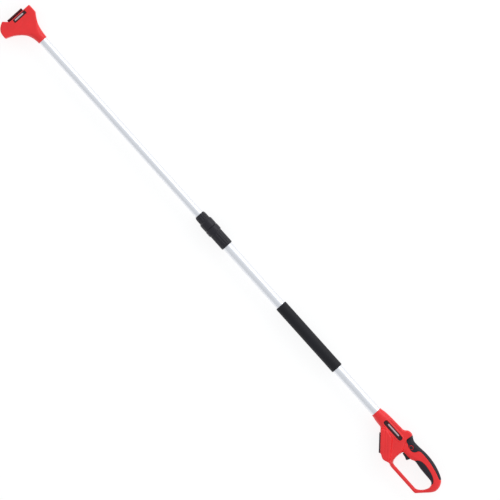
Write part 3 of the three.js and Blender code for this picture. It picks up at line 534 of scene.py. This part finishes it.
# ---- handle -----------------------------------------------------------------------------------------
# u runs along the pole from the mouth, v towards the back of the grip.
HANDLE_LENGTH = 306.5
BACK = [
    (105, 26.5, 106, 37.5, 119, 37.5),
    (134, 37.5, 136, 26, 153, 26),
    (178, 26, 185, 29.5, 207, 29.5),
    (240, 29.5, 270, 21, 287, 12),
    (300, 5, HANDLE_LENGTH, -10, HANDLE_LENGTH, -22),
]
OUTER = path_points(
    (-14, 17.6),
    (3, 17.6),
    (9, 18, 13, 20.6, 22, 21.6),
    (36, 22.8),
    (96, 25.4),
    *BACK,
    (HANDLE_LENGTH, -34, 297, -44, 287, -56),
    (270, -77),
    (267.5, -80, 263, -80),
    (158, -80),
    (152, -80, 150, -77, 144, -77),
    (136, -77.5, 132, -82.8, 122.5, -82.8),
    (114, -82.8, 114, -77, 104, -77),
    (102, -76.6, 100.5, -75),
    (48, -25),
    (44, -21.5, 40, -21.3),
    (22, -20.4),
    (13, -19.6, 9, -17.6, 3, -17.6),
    (-14, -17.6),
)
LOOP = path_points(
    (149.5, -20.5),
    (146.3, -27, 145.7, -38),
    (145, -54, 147, -68.2, 161, -68.2),
    (256, -68.2),
    (268, -68.2, 284.6, -47, 284.6, -34),
    (284, -24, 279, -17.8, 268, -17.2),
    (234, -16.4),
    (215, -16, 205, -13, 197, -13),
    (190, -13, 188, -17.5, 180, -19.5),
)
GRIP_ZONE = path_points(
    (128, 60), (129, 18), (131, 2), (138, -12, 147, -20, 147, -30), (170, -30), (284, -30), (286, -37),
    (320, -37), (320, 60),
)
LIMB_ZONE = path_points((270, -37), (320, -37), (320, -56), (276, -50))
HOUSING_ZONE = path_points(
    (-20, -90), (-20, 60), (129, 60), (129, 18), (131, 2), (138, -12, 147, -20, 147, -30),
    (146, -45), (147, -62, 152, -72), (149, -90),
)
DOCK_ZONE = path_points((20, -50), (44, -26), (62, -11), (91, -16), (143, -71), (144, -110), (60, -110))
BACK_RUBBER = path_points(
    (131.5, 60),
    (129.5, 28, 127.5, 22, 127, 15.5),
    (127, 9, 132, 6.8, 138, 6.4),
    (144, 6, 148, -1.4, 156, -1.4),
    (166, -1.4, 172, 2, 175, 8),
    (177, 14, 178, 19, 190, 20),
    (220, 22, 260, 15, 285, 5),
    (288, 4, 290, 8),
    (296, 22),
    (290, 60),
)
FINGER_RUBBER = path_points(
    (194, -12),
    (198, -3, 206, 2.8, 222, 2.8),
    (248, 2.8, 277, -5, 282.5, -18),
    (283.5, -22, 280, -30),
    (200, -30),
)
BADGE = path_points(
    (46, -7.1), (109, -7.1), (116.4, -7.1, 116.4, 0), (116.4, 7.1, 109, 7.1),
    (46, 7.1), (38.8, 7.1, 38.8, 0), (38.8, -7.1, 46, -7.1),
)
BUTTON = (155, 6.2)
BUTTON_RIM = 7.6
PIVOT = (154, -16.5)
DOCK_CENTRE = (74.5, -50.2)
DOCK_TURN = math.atan2(-50.5, 53)
# Each screw's u and v, and how far out the shell's face is there.
HANDLE_SCREWS = [
    (116, 30, 24), (118, -73, 34), (130, -30, 24), (202, 18, 17), (288, -6, 17),
    (168, -74.1, 11.5), (256, -74.1, 11.5),
]
# Half the gap between the shells, then the openings in them, and the pockets that hold the rubber.
SEAM = 0.12
WELL_R = 3.3
WELL_DEPTH = 6.7
TUBE_BORE = 16.25
LEAD_BORE = 8.4
BUTTON_BORE = 5.8
TRIGGER_SLOT = 6.1
BADGE_TOP = 23.9
BADGE_FLOOR = 22.7
BADGE_FRAME = 1.5
POCKET_DEPTH = 3.2
POCKET_GAP = 0.25
SKIN_DEPTH = 3.0
# Grid steps of the fields.
SHELL_STEP = 1.0
SKIN_STEP = 0.8


def dock_axes(x, y):
    """Distances along the battery's slide and out of its face, from the dock's centre."""
    x, y = x - DOCK_CENTRE[0], y - DOCK_CENTRE[1]
    turn_x, turn_y = math.cos(DOCK_TURN), math.sin(DOCK_TURN)
    return x * turn_x + y * turn_y, x * turn_y - y * turn_x


flat = Map((-6, -92), (314, 46), 0.7)
side_map = np.maximum(flat.outline(OUTER), -flat.outline(LOOP))
half_map = np.full(side_map.shape, 9.0)
edge_map = np.full(side_map.shape, 6.0)
for zone, half, edge in (
    (LIMB_ZONE, 12.5, 8.5),
    (GRIP_ZONE, 17.0, 13.0),
    (HOUSING_ZONE, 24.0, 7.0),
    (DOCK_ZONE, 34.0, 4.5),
):
    within = inside(zone, flat.x, flat.y)
    half_map[within] = half
    edge_map[within] = edge
# The socket is round at its mouth, as its outline widens, and turns flat-sided into the housing.
socket = np.interp(flat.x, [4, 9, 14, 22, 36, 60], [17.6, 18.2, 20.2, 21.2, 22.4, 24])
in_housing = inside(HOUSING_ZONE, flat.x, flat.y) & ~inside(DOCK_ZONE, flat.x, flat.y)
half_map[in_housing] = socket[in_housing]
flat_share = smooth_step((flat.x - 24) / 34)
round_edge = socket * (1 - flat_share) + 7 * flat_share - 0.02
edge_map[in_housing] = np.maximum(edge_map, round_edge)[in_housing]
half_map = np.where(flat.x < 30, half_map, flat.blurred(half_map, 2.4))
edge_map = np.where(flat.x < 30, edge_map, flat.blurred(edge_map, 3.0))
# Raised frame round the nameplate, and soft ridges along the battery housing.
from_badge = flat.outline(BADGE)
frame_rise = BADGE_FRAME * smooth_step((from_badge + 0.3) / 2.2)
half_map = half_map + frame_rise * (1 - smooth_step((from_badge - 2.4) / 3.4))
from_dock = dock_axes(flat.x, flat.y)[1]
for groove in (-13, -21):
    half_map = half_map - 0.8 * np.exp(-0.5 * ((from_dock - groove) / 1.1) ** 2) * (half_map > 30)

read_side = flat.reader(side_map)
read_half = flat.reader(half_map)
read_edge = flat.reader(edge_map)
read_back = flat.reader(flat.outline(BACK_RUBBER))
read_finger = flat.reader(flat.outline(FINGER_RUBBER))
read_badge = flat.reader(flat.outline(BADGE))


def handle_form(x, y, z):
    return smooth_max(thick(read_side(x, y), z, read_half(x, y), read_edge(x, y)), 0.05 - x, 0.7)


def rod(x, y, z, radius, x0, x1):
    """A round bar along X between x0 and x1."""
    return np.maximum(np.hypot(y, z) - radius, np.maximum(x0 - x, x - x1))


def block(x, y, z, x0, x1, y0, y1, half):
    """A box between x0 and x1, y0 and y1, and half each way in z."""
    return np.maximum(np.maximum(np.maximum(x0 - x, x - x1), np.maximum(y0 - y, y - y1)), np.abs(z) - half)


def handle_shell(right):
    """One half of the handle, with its openings; both halves are made on the +Z side."""

    def field(x, y, z):
        form = handle_form(x, y, z)
        d = smooth_max(form, SEAM - z, 0.6)
        from_button = np.hypot(x - BUTTON[0], y - BUTTON[1])
        back = read_back(x, y) if right else np.maximum(read_back(x, y), BUTTON_RIM - from_button)
        for region in (back, read_finger(x, y)):
            d = without(d, np.maximum(region - POCKET_GAP, -form - POCKET_DEPTH), 0.7)
        d = without(d, np.maximum(read_badge(x, y) - 0.3, BADGE_FLOOR - z), 0.5)
        d = without(d, block(x, y, z, 149.2, 181, -40, -3, TRIGGER_SLOT), 0.8)
        along, out = dock_axes(x, y)
        recess = np.maximum(np.maximum(-25 - along, along - 60), np.maximum(-7.3 - out, np.abs(z) - 30))
        d = without(d, recess, 0.8)
        bores = np.minimum(rod(x, y, z, TUBE_BORE, -20, 118.3), rod(x, y, z, LEAD_BORE, 0, 128))
        d = without(d, bores, 0.4)
        if not right:
            d = without(d, from_button - BUTTON_BORE, 0.6)
        for u, v, face in HANDLE_SCREWS if right else ():
            well = np.hypot(x - u, y - v) - WELL_R
            d = without(d, np.maximum(well, face - WELL_DEPTH - z), 0.6)
        return d

    name = "handle_shell_right" if right else "handle_shell_left"
    return surface(field, (-3, -86, -2), (310, 41, 38), SHELL_STEP, name + ".fine")


def skin(reader, name, button=False):
    """A rubber part laid into its pocket in the shell, with a hole for the button if it has one."""

    def field(x, y, z):
        form = handle_form(x, y, z)
        region = reader(x, y)
        if button:
            region = np.maximum(region, BUTTON_RIM + 0.2 - np.hypot(x - BUTTON[0], y - BUTTON[1]))
        d = smooth_max(form - SEAM, SEAM - z, 0.5)
        d = smooth_max(d, region, 0.9)
        return np.maximum(d, -form - SKIN_DEPTH)

    return surface(field, (120, -34, -2), (300, 41, 20), SKIN_STEP, name)


def to_place(piece, mirrored=False, at=(MOUTH_X, AXIS_Y, AXIS_Z)):
    """Moves a piece from its own axes to the pole, on the right side if mirrored."""
    if mirrored:
        piece.data.transform(Matrix.Diagonal((1, 1, -1, 1)))
        piece.data.flip_normals()
    return placed(piece, *at)


stands_for(to_place(handle_shell(False)), "handle_shell_left")
stands_for(to_place(handle_shell(True), True), "handle_shell_right")
stands_for(to_place(skin(read_back, "back_rubber_left.fine", True)), "back_rubber_left")
stands_for(to_place(skin(read_back, "back_rubber_right.fine"), True), "back_rubber_right")
stands_for(to_place(skin(read_finger, "finger_rubber_left.fine")), "finger_rubber_left")
stands_for(to_place(skin(read_finger, "finger_rubber_right.fine"), True), "finger_rubber_right")

STRIP = path_points(
    (55, 0), (100, 0), (102.2, 0, 102.2, 2.3), (102.2, 4.6, 100, 4.6),
    (55, 4.6), (52.7, 4.6, 52.7, 2.3), (52.7, 0, 55, 0), density=6,
)[:-1]
BADGE_EDGE = BADGE[:-1]


def nameplate(outline, strip, top, at, node, mirrored):
    """A blank black plate with a pale strip let into it."""
    base = plate(node + ".fine", outline, top - 1.0, top, 0.3, 2)
    inlay = plate(node + "_strip", strip, top - 0.4, top + 0.08, 0.05, 1)
    for piece in (base, inlay):
        to_place(piece, mirrored, at)
    stands_for(base, node)
    inlay.data.materials.append(PALE)
    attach(inlay, BODY_OF[node])


for node, mirrored in (("handle_badge_left", False), ("handle_badge_right", True)):
    nameplate(BADGE_EDGE, STRIP, BADGE_TOP, (MOUTH_X, AXIS_Y, AXIS_Z), node, mirrored)

TRIGGER = path_points(
    (150.2, -20),
    (151, -26),
    (157, -27.2, 166, -28.5, 171.5, -31),
    (174, -31.5, 175.2, -29),
    (179.5, -19.5),
    (178, -15),
    (160, -11.8),
    (152, -11.5),
    (150.2, -13, 150.2, -20),
    density=8,
)
trigger_map = Map((145, -36), (185, -7), 0.3)
read_trigger = trigger_map.reader(trigger_map.blurred(trigger_map.outline(TRIGGER), 0.5))


def trigger_form(x, y, z):
    """Rounded edges, and a finger hollow across the front."""
    hollow = 0.9 * smooth_step((-18 - y) / 9) * np.exp(-0.5 * ((x - 163) / 6) ** 2)
    return thick(read_trigger(x, y) + hollow, z, 5.6, 2.6)


trigger = surface(trigger_form, (147, -34, -7), (183, -9, 7), 0.7, "trigger.fine")
stands_for(to_place(trigger), "trigger")
pin_profile = [(-9.5, 0.01), (-9.5, 1.2), (-9.1, 1.6), (9.1, 1.6), (9.5, 1.2), (9.5, 0.01)]
pin = lathe("trigger_pin.fine", pin_profile, 32)
pin.data.transform(Matrix.Rotation(math.pi / 2, 4, "Y"))
placed(pin, MOUTH_X + PIVOT[0], AXIS_Y + PIVOT[1], AXIS_Z)
stands_for(pin, "trigger_pin")

button_profile = [
    (0, 0.01), (0, 2.4), (8, 2.4), (8.4, 5.2), (13.6, 5.4), (14.4, 5.0), (14.75, 4.2), (14.6, 0.01),
]
button = lathe("lock_off_button.fine", rounded_profile(button_profile, 0.4), 48)
button.data.transform(Matrix.Rotation(-math.pi / 2, 4, "Y"))
placed(button, MOUTH_X + BUTTON[0], AXIS_Y + BUTTON[1], AXIS_Z + 3)
stands_for(button, "lock_off_button")

for node, width in (
    ("battery_dock", 0.5),
    ("battery_terminal_block", 0.5),
    ("terminal_blade_left", 0.12),
    ("terminal_blade_middle", 0.12),
    ("terminal_blade_right", 0.12),
    ("switch_block", 0.5),
    ("tube_end_ring", 0.5),
):
    stands_for(refined(node, width), node)


# ---- screws, springs and wires ----------------------------------------------------------------------
def cross_screw(node, x, y, head_z, head_r=3.0, head_depth=2.4, tip_z=8.0):
    """A pan-head screw along Z with a cross recess, its head at -Z."""
    profile = [
        (0, 0.01), (0, 1.0), (-0.01, head_r - 0.8), (0.35, head_r - 0.2), (0.9, head_r),
        (head_depth, head_r), (head_depth, 1.5),
    ]
    x_now = head_depth + 0.6
    while x_now < tip_z - head_z - 2.2:
        profile += [(x_now, 1.2), (x_now + 0.45, 1.5)]
        x_now += 0.9
    profile += [(tip_z - head_z - 1.2, 1.1), (tip_z - head_z, 0.01)]
    piece = lathe(node + ".fine", profile, 36)
    shape = bmesh.new()
    shape.from_mesh(piece.data)
    for vert in shape.verts:
        r = math.hypot(vert.co.y, vert.co.z) / MM
        if vert.co.x / MM < 0.1 and r < 1.3:
            arm = min(abs(vert.co.y), abs(vert.co.z)) / MM
            vert.co.x += (0.9 if arm < 0.45 else 0.0) * MM
    shape.to_mesh(piece.data)
    shape.free()
    piece.data.transform(Matrix.Rotation(-math.pi / 2, 4, "Y"))
    placed(piece, x, y, AXIS_Z + head_z)
    stands_for(piece, node)


for i, (u, v, face) in enumerate(HANDLE_SCREWS, 1):
    cross_screw(f"handle_screw_{i}", MOUTH_X + u, AXIS_Y + v, -(face - 4))

def spring(node, start, end, radius, turns, thickness):
    """A coil of wire between two bodies. Each body holds it from overhang beyond that end."""
    start, end = np.array(start, float), np.array(end, float)
    piece = sweep(node + ".fine", coil(start, end, radius, turns), thickness, 8)
    stands_for(piece, node, ride=False)
    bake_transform(piece)


SPRING_X = MOUTH_X + 169
spring(
    "trigger_spring",
    (SPRING_X, AXIS_Y - 12.2, AXIS_Z),
    (SPRING_X, AXIS_Y - 3.7, AXIS_Z),
    radius=2.2,
    turns=5.5,
    thickness=0.38,
)
button_x, button_y = MOUTH_X + BUTTON[0], AXIS_Y + BUTTON[1]
spring(
    "lock_off_spring",
    (button_x, button_y, AXIS_Z + 0.8),
    (button_x, button_y, AXIS_Z + 10.9),
    radius=3.25,
    turns=5.5,
    thickness=0.42,
)
wire_points = np.array([
    (127.8, 0, 0), (133, -0.8, -2.5), (140, -2, -4.5), (148, -2.4, -4.9), (155, -2.5, -5), (163.5, 0, -4),
])
WIRE_STEPS = 40
steps = np.linspace(0, len(wire_points) - 1, WIRE_STEPS)
wire_line = np.stack([np.interp(steps, range(len(wire_points)), wire_points[:, k]) for k in range(3)], 1)
wire_piece = sweep("switch_wire.fine", wire_line + (MOUTH_X, AXIS_Y, AXIS_Z), 1.5, 12)
stands_for(wire_piece, "switch_wire")

# The lead runs from the head's contact block to the handle's terminals and stretches with the slide.
lead_start = (NECK_X - 98, AXIS_Y, AXIS_Z)
lead_end = (MOUTH_X + 127, AXIS_Y, AXIS_Z)
LEAD_TURNS = 150
lead = sweep("coiled_lead.fine", coil(lead_start, lead_end, 6.2, LEAD_TURNS, 12), 1.7, 8)
stands_for(lead, "coiled_lead", ride=False)
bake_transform(lead)


# ---- tubes, foam grip and collar --------------------------------------------------------------------
def axis_box(node):
    low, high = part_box(node)
    return 1000 * low.x, 1000 * high.x


def on_axis(piece):
    return placed(piece, 0, AXIS_Y, AXIS_Z)


for node, inner, outer in (("upper_tube", 12.8, 14.0), ("lower_tube", 14.8, 16.0)):
    x0, x1 = axis_box(node)
    stops = list(np.linspace(x0 + 1, x1 - 1, 40))
    profile = [(x0, inner + 0.2), (x0, outer - 0.3), (x0 + 0.3, outer)]
    profile += [(x, outer) for x in stops]
    profile += [(x1 - 0.3, outer), (x1, outer - 0.3), (x1, inner + 0.2), (x1 - 0.3, inner)]
    profile += [(x, inner) for x in reversed(stops)] + [(x0 + 0.3, inner)]
    stands_for(on_axis(lathe(node + ".fine", profile, 128)), node)

x0, x1 = axis_box("foam_grip")
# The foam sleeve has rounded shoulders and a slightly uneven surface.
FOAM_BORE = 16.3
FOAM_EDGE = 3
foam_turn = np.linspace(0.4, math.pi / 2, 6)
foam_shoulder = [(FOAM_EDGE * (1 - math.cos(t)), FOAM_BORE + FOAM_EDGE * math.sin(t)) for t in foam_turn]
foam_profile = [(x0, FOAM_BORE), (x0, 17.2)] + [(x0 + x, r) for x, r in foam_shoulder]
for x in np.linspace(x0 + 4, x1 - 4, 60):
    waviness = 0.5 + 0.5 * math.sin(x * 0.37) * math.sin(x * 0.11)
    foam_profile.append((x, FOAM_BORE + FOAM_EDGE - 0.12 * waviness))
foam_profile += [(x1 - x, r) for x, r in reversed(foam_shoulder)] + [(x1, 17.2), (x1, FOAM_BORE)]
stands_for(on_axis(lathe("foam_grip.fine", foam_profile, 128)), "foam_grip")

NUT_START, NUT_END = axis_box("collar_nut")
COLLAR_END = axis_box("collar_body")[1]
FLANGE_END = NUT_END + 20.2
RIBS = 16


def ribbed(x0, x1, surface_r, depth):
    """Ribs between x0 and x1 on the outer surface only: grooves with round floors."""

    def radii(x, r, angles):
        if r < surface_r - 0.9:
            return np.full(len(angles), float(r))
        fade = np.clip(min(x - x0, x1 - x) / 2.0, 0, 1)
        fade = fade * fade * (3 - 2 * fade)
        wave = 0.5 + 0.5 * np.cos(RIBS * angles)
        groove = np.clip((wave - 0.35) / 0.5, 0, 1)
        return r - depth * fade * groove

    return radii


def along_line(points, step=1.0):
    """More points on the straight runs of a profile."""
    out = []
    for (ax, ar), (bx, br) in zip(points, points[1:]):
        count = max(1, int(math.hypot(bx - ax, br - ar) / step))
        out += [(ax + (bx - ax) * k / count, ar + (br - ar) * k / count) for k in range(count)]
    return out + [points[-1]]


nut_outer = rounded_profile(
    [
        (NUT_START, 14.5), (NUT_START, 15.0), (NUT_START + 3, 17.2), (NUT_START + 7.5, 18.4),
        (NUT_START + 26, 18.6), (NUT_START + 29.4, 21.7), (NUT_END - 1, 21.7), (NUT_END, 20.7),
        (NUT_END, 18.9),
    ],
    1.0,
)[3:-3]
nut_profile = [(NUT_START + 0.2, 14.5)] + along_line(nut_outer) + [
    (NUT_END - 0.1, 18.9), (NUT_END - 20, 18.9), (NUT_START + 8, 16.2), (NUT_START + 7.5, 14.5),
]
nut = lathe("collar_nut.fine", nut_profile, 192, ribbed(NUT_START + 6, NUT_START + 25, 17.6, 1.0))
stands_for(on_axis(nut), "collar_nut")

collar_outer = rounded_profile(
    [
        (NUT_END + 0.4, 19.0), (NUT_END + 0.4, 21.1), (NUT_END + 3, 22.3), (FLANGE_END, 22.3),
        (FLANGE_END + 1.5, 20.1), (COLLAR_END - 2.5, 20.1), (COLLAR_END, 18.1), (COLLAR_END, 16.3),
    ],
    0.8,
)[3:-3]
THREAD_START = NUT_END - 18.8
TUBE_STOP = NUT_END + 12
collar_profile = [
    (THREAD_START, 14.7), (THREAD_START, 17.4), (THREAD_START + 1, 18.4), (NUT_END + 0.4, 18.4),
    *along_line(collar_outer),
    (COLLAR_END - 0.1, 16.35), (TUBE_STOP, 16.35), (TUBE_STOP, 14.7),
]
collar_ribs = ribbed(FLANGE_END + 4, COLLAR_END - 4.5, 19.5, 0.95)
collar = lathe("collar_body.fine", collar_profile, 192, collar_ribs)
stands_for(on_axis(collar), "collar_body")
for node, width in (("collar_collet", 0.3), ("guide_bush", 0.4)):
    stands_for(refined(node, width), node)


# ---- head -------------------------------------------------------------------------------------------
# p runs along the pole from the neck's end, negative towards the tip.
HEAD_SIDE = path_points(
    (14, 15.6),
    (0, 15.6),
    (-22, 17, -42, 19.5, -56, 26.5),
    (-66, 31.5, -74, 37, -80.6, 41.6),
    (-82, 42.3, -84, 42.3),
    (-106, 42.3),
    (-110, 42.3, -110, 38.3),
    (-110, -39),
    (-124.6, -53.8),
    (-125.9, -55.2, -125.2, -57),
    (-120, -70, -111, -82, -94, -82.8),
    (-84.5, -83.5),
    (-81.2, -83.5, -80, -81),
    (-75, -67, -66, -46, -46, -29.5),
    (-34, -20, -18, -16.5, 0, -15.6),
    (14, -15.6),
)
HEAD_BADGE = path_points(
    (-105, -28.4), (-98, -28.4), (-96, -28.4, -96, -26.4), (-96, 17.7), (-96, 19.7, -98, 19.7),
    (-105, 19.7), (-107, 19.7, -107, 17.7), (-107, -26.4), (-107, -28.4, -105, -28.4), density=5,
)[:-1]
HEAD_STRIP = path_points(
    (-103.6, -23), (-101.2, -23), (-100, -23, -100, -22), (-100, 9), (-100, 10.2, -101.2, 10.2),
    (-103.6, 10.2), (-104.6, 10.2, -104.6, 9), (-104.6, -22), (-104.6, -23, -103.6, -23), density=4,
)[:-1]
HEAD_SCREWS = [(-95, 33), (-93, -72), (-64, 21.5), (-60, -27)]
HEAD_BORE = 14.25
HEAD_BADGE_TOP = 33.9
HEAD_BADGE_FLOOR = 32.7
tall = Map((-130, -90), (18, 50), 0.7)
read_head = tall.reader(tall.outline(HEAD_SIDE))
plan = path_points((0, 15.6), (-40, 19, -62, 22, -84, 33.6), density=40)
plan = np.vstack([plan, [(-86.5, 34), (-140, 34)]])[::-1]


def head_form(x, y, z):
    half = np.interp(x, plan[:, 0], plan[:, 1])
    edge = 4.0 + (half - 4.02) * smooth_step((x + 62) / 40)
    return smooth_max(thick(read_head(x, y), z, half, edge), x + 0.05, 0.7)


def head_shell(right):
    """One half of the head, with the dock, latch, bores and screw wells cut into it."""

    def field(x, y, z):
        d = smooth_max(head_form(x, y, z), SEAM - z, 0.6)
        badge = np.maximum(np.maximum(-107.3 - x, x + 95.7), np.maximum(-28.7 - y, y - 20.0))
        d = without(d, np.maximum(badge, HEAD_BADGE_FLOOR - z), 0.5)
        for cut in (
            block(x, y, z, -140, -104, -42.3, 16.7, 21.3),
            block(x, y, z, -140, -100.7, -8, 12, 12.5),
            block(x, y, z, -140, -95.5, -40, -31, 8.1),
            block(x, y, z, -107, -95.5, -69, -31, 8.1),
            np.maximum(np.hypot(y + 55, z) - 3.4, np.maximum(-100 - x, x + 88)),
            rod(x, y, z, HEAD_BORE, -60.3, 20),
            rod(x, y, z, LEAD_BORE, -98.5, 0),
        ):
            d = without(d, cut, 0.5)
        button = np.maximum(np.abs(z) - 13.4, np.maximum(-82.5 - y, y + 56.6))
        slope = (x + 112.1) * 0.94 + (y + 56.6) * -0.34
        lower = (x + 108.6) * 0.76 + (y + 64.8) * -0.65
        d = without(d, np.maximum(button, np.maximum(np.minimum(slope, lower), x + 100.6)), 0.6)
        for u, v in HEAD_SCREWS if right else ():
            well = np.hypot(x - u, y - v) - WELL_R
            d = without(d, np.maximum(well, 19.3 - z), 0.6)
        if right:
            well = np.hypot(x + 30, y) - WELL_R
            d = without(d, np.maximum(well, 15.2 - z), 0.5)
        return d

    name = "head_shell_right" if right else "head_shell_left"
    return surface(field, (-128, -86, -2), (3, 45, 37), SHELL_STEP, name + ".fine")


HEAD_PLACE = (NECK_X, AXIS_Y, AXIS_Z)
stands_for(to_place(head_shell(False), False, HEAD_PLACE), "head_shell_left")
stands_for(to_place(head_shell(True), True, HEAD_PLACE), "head_shell_right")
for node, mirrored in (("head_badge_left", False), ("head_badge_right", True)):
    nameplate(HEAD_BADGE, HEAD_STRIP, HEAD_BADGE_TOP, HEAD_PLACE, node, mirrored)
for i, (u, v) in enumerate(HEAD_SCREWS, 1):
    cross_screw(f"head_screw_{i}", NECK_X + u, AXIS_Y + v, -22)
for node, width in (
    ("head_dock_rails", 0.8),
    ("head_contact_block", 0.4),
    ("head_contact_left", 0.12),
    ("head_contact_middle", 0.12),
    ("head_contact_right", 0.12),
    ("head_release_latch", 0.8),
    ("head_tube_screw", 0.2),
):
    stands_for(refined(node, width), node)
spring(
    "head_latch_spring",
    (NECK_X - 99.2, AXIS_Y - 55, AXIS_Z),
    (NECK_X - 88.8, AXIS_Y - 55, AXIS_Z),
    radius=2.5,
    turns=6,
    thickness=0.45,
)


# ---- floor, light and camera ------------------------------------------------------------------------
FLOOR_REACH = 150
FLOOR_GREY = 0.2
FLOOR_SPREAD = 0.005
floor_mesh = bpy.data.meshes.new("floor")
floor_corners = [(x * FLOOR_REACH, y * FLOOR_REACH, 0) for x, y in ((-1, -1), (1, -1), (1, 1), (-1, 1))]
floor_mesh.from_pydata(floor_corners, [], [(0, 1, 2, 3)])
floor = bpy.data.objects.new("floor", floor_mesh)
bpy.context.scene.collection.objects.link(floor)
floor.location.z = -0.0005
floor_material, floor_tree, floor_shader = new_material("floor", (FLOOR_GREY,) * 3, 0.95, specular=0.1)
floor_low = (FLOOR_GREY - FLOOR_SPREAD,) * 3
floor_high = (FLOOR_GREY + FLOOR_SPREAD,) * 3
tint(floor_tree, noise(floor_tree, 3), floor_shader.inputs["Base Color"], floor_low, floor_high)
floor_shader.inputs["Emission Color"].default_value = (1, 1, 1, 1)
floor_shader.inputs["Emission Strength"].default_value = 0.84
floor_mesh.materials.append(floor_material)

# A bright studio that is a little darker on the side away from the key light.
world = bpy.data.worlds.new("world")
bpy.context.scene.world = world
world.use_nodes = True
sky = world.node_tree
background = sky.nodes["Background"]
background.inputs["Color"].default_value = (0.95, 0.975, 1, 1)
direction = sky.nodes.new("ShaderNodeTexCoord")
split = sky.nodes.new("ShaderNodeSeparateXYZ")
sky.links.new(direction.outputs["Generated"], split.inputs["Vector"])
spread = sky.nodes.new("ShaderNodeMapRange")
spread.inputs["From Min"].default_value = -1
spread.inputs["To Min"].default_value = 0.70
spread.inputs["To Max"].default_value = 0.90
sky.links.new(split.outputs["Y"], spread.inputs["Value"])
sky.links.new(spread.outputs["Result"], background.inputs["Strength"])


def area(name, place, width, height, power):
    lamp = bpy.data.lights.new(name, "AREA")
    lamp.shape = "RECTANGLE"
    lamp.size, lamp.size_y = width, height
    lamp.energy = power
    obj = bpy.data.objects.new(name, lamp)
    obj.location = place
    obj.rotation_euler = (-Vector(place)).to_track_quat("-Z", "Y").to_euler()
    bpy.context.scene.collection.objects.link(obj)


area("key", (0, 3.0, 1.9), 5, 2.0, 42)

TURN = math.radians(48.1)
VIEW_CENTRE = (0.0485, 0.0643)
VIEW_WIDTH = 1.55
camera_data = bpy.data.cameras.new("camera")
camera = bpy.data.objects.new("camera", camera_data)
bpy.context.scene.collection.objects.link(camera)
camera_data.sensor_width = 36
camera_data.lens = 500
camera_data.clip_end = 400
camera.location = (*VIEW_CENTRE, AXIS_Z * MM + VIEW_WIDTH * camera_data.lens / camera_data.sensor_width)
camera.rotation_euler = (0, 0, TURN)
bpy.context.scene.camera = camera
bpy.context.scene.view_settings.view_transform = "Standard"
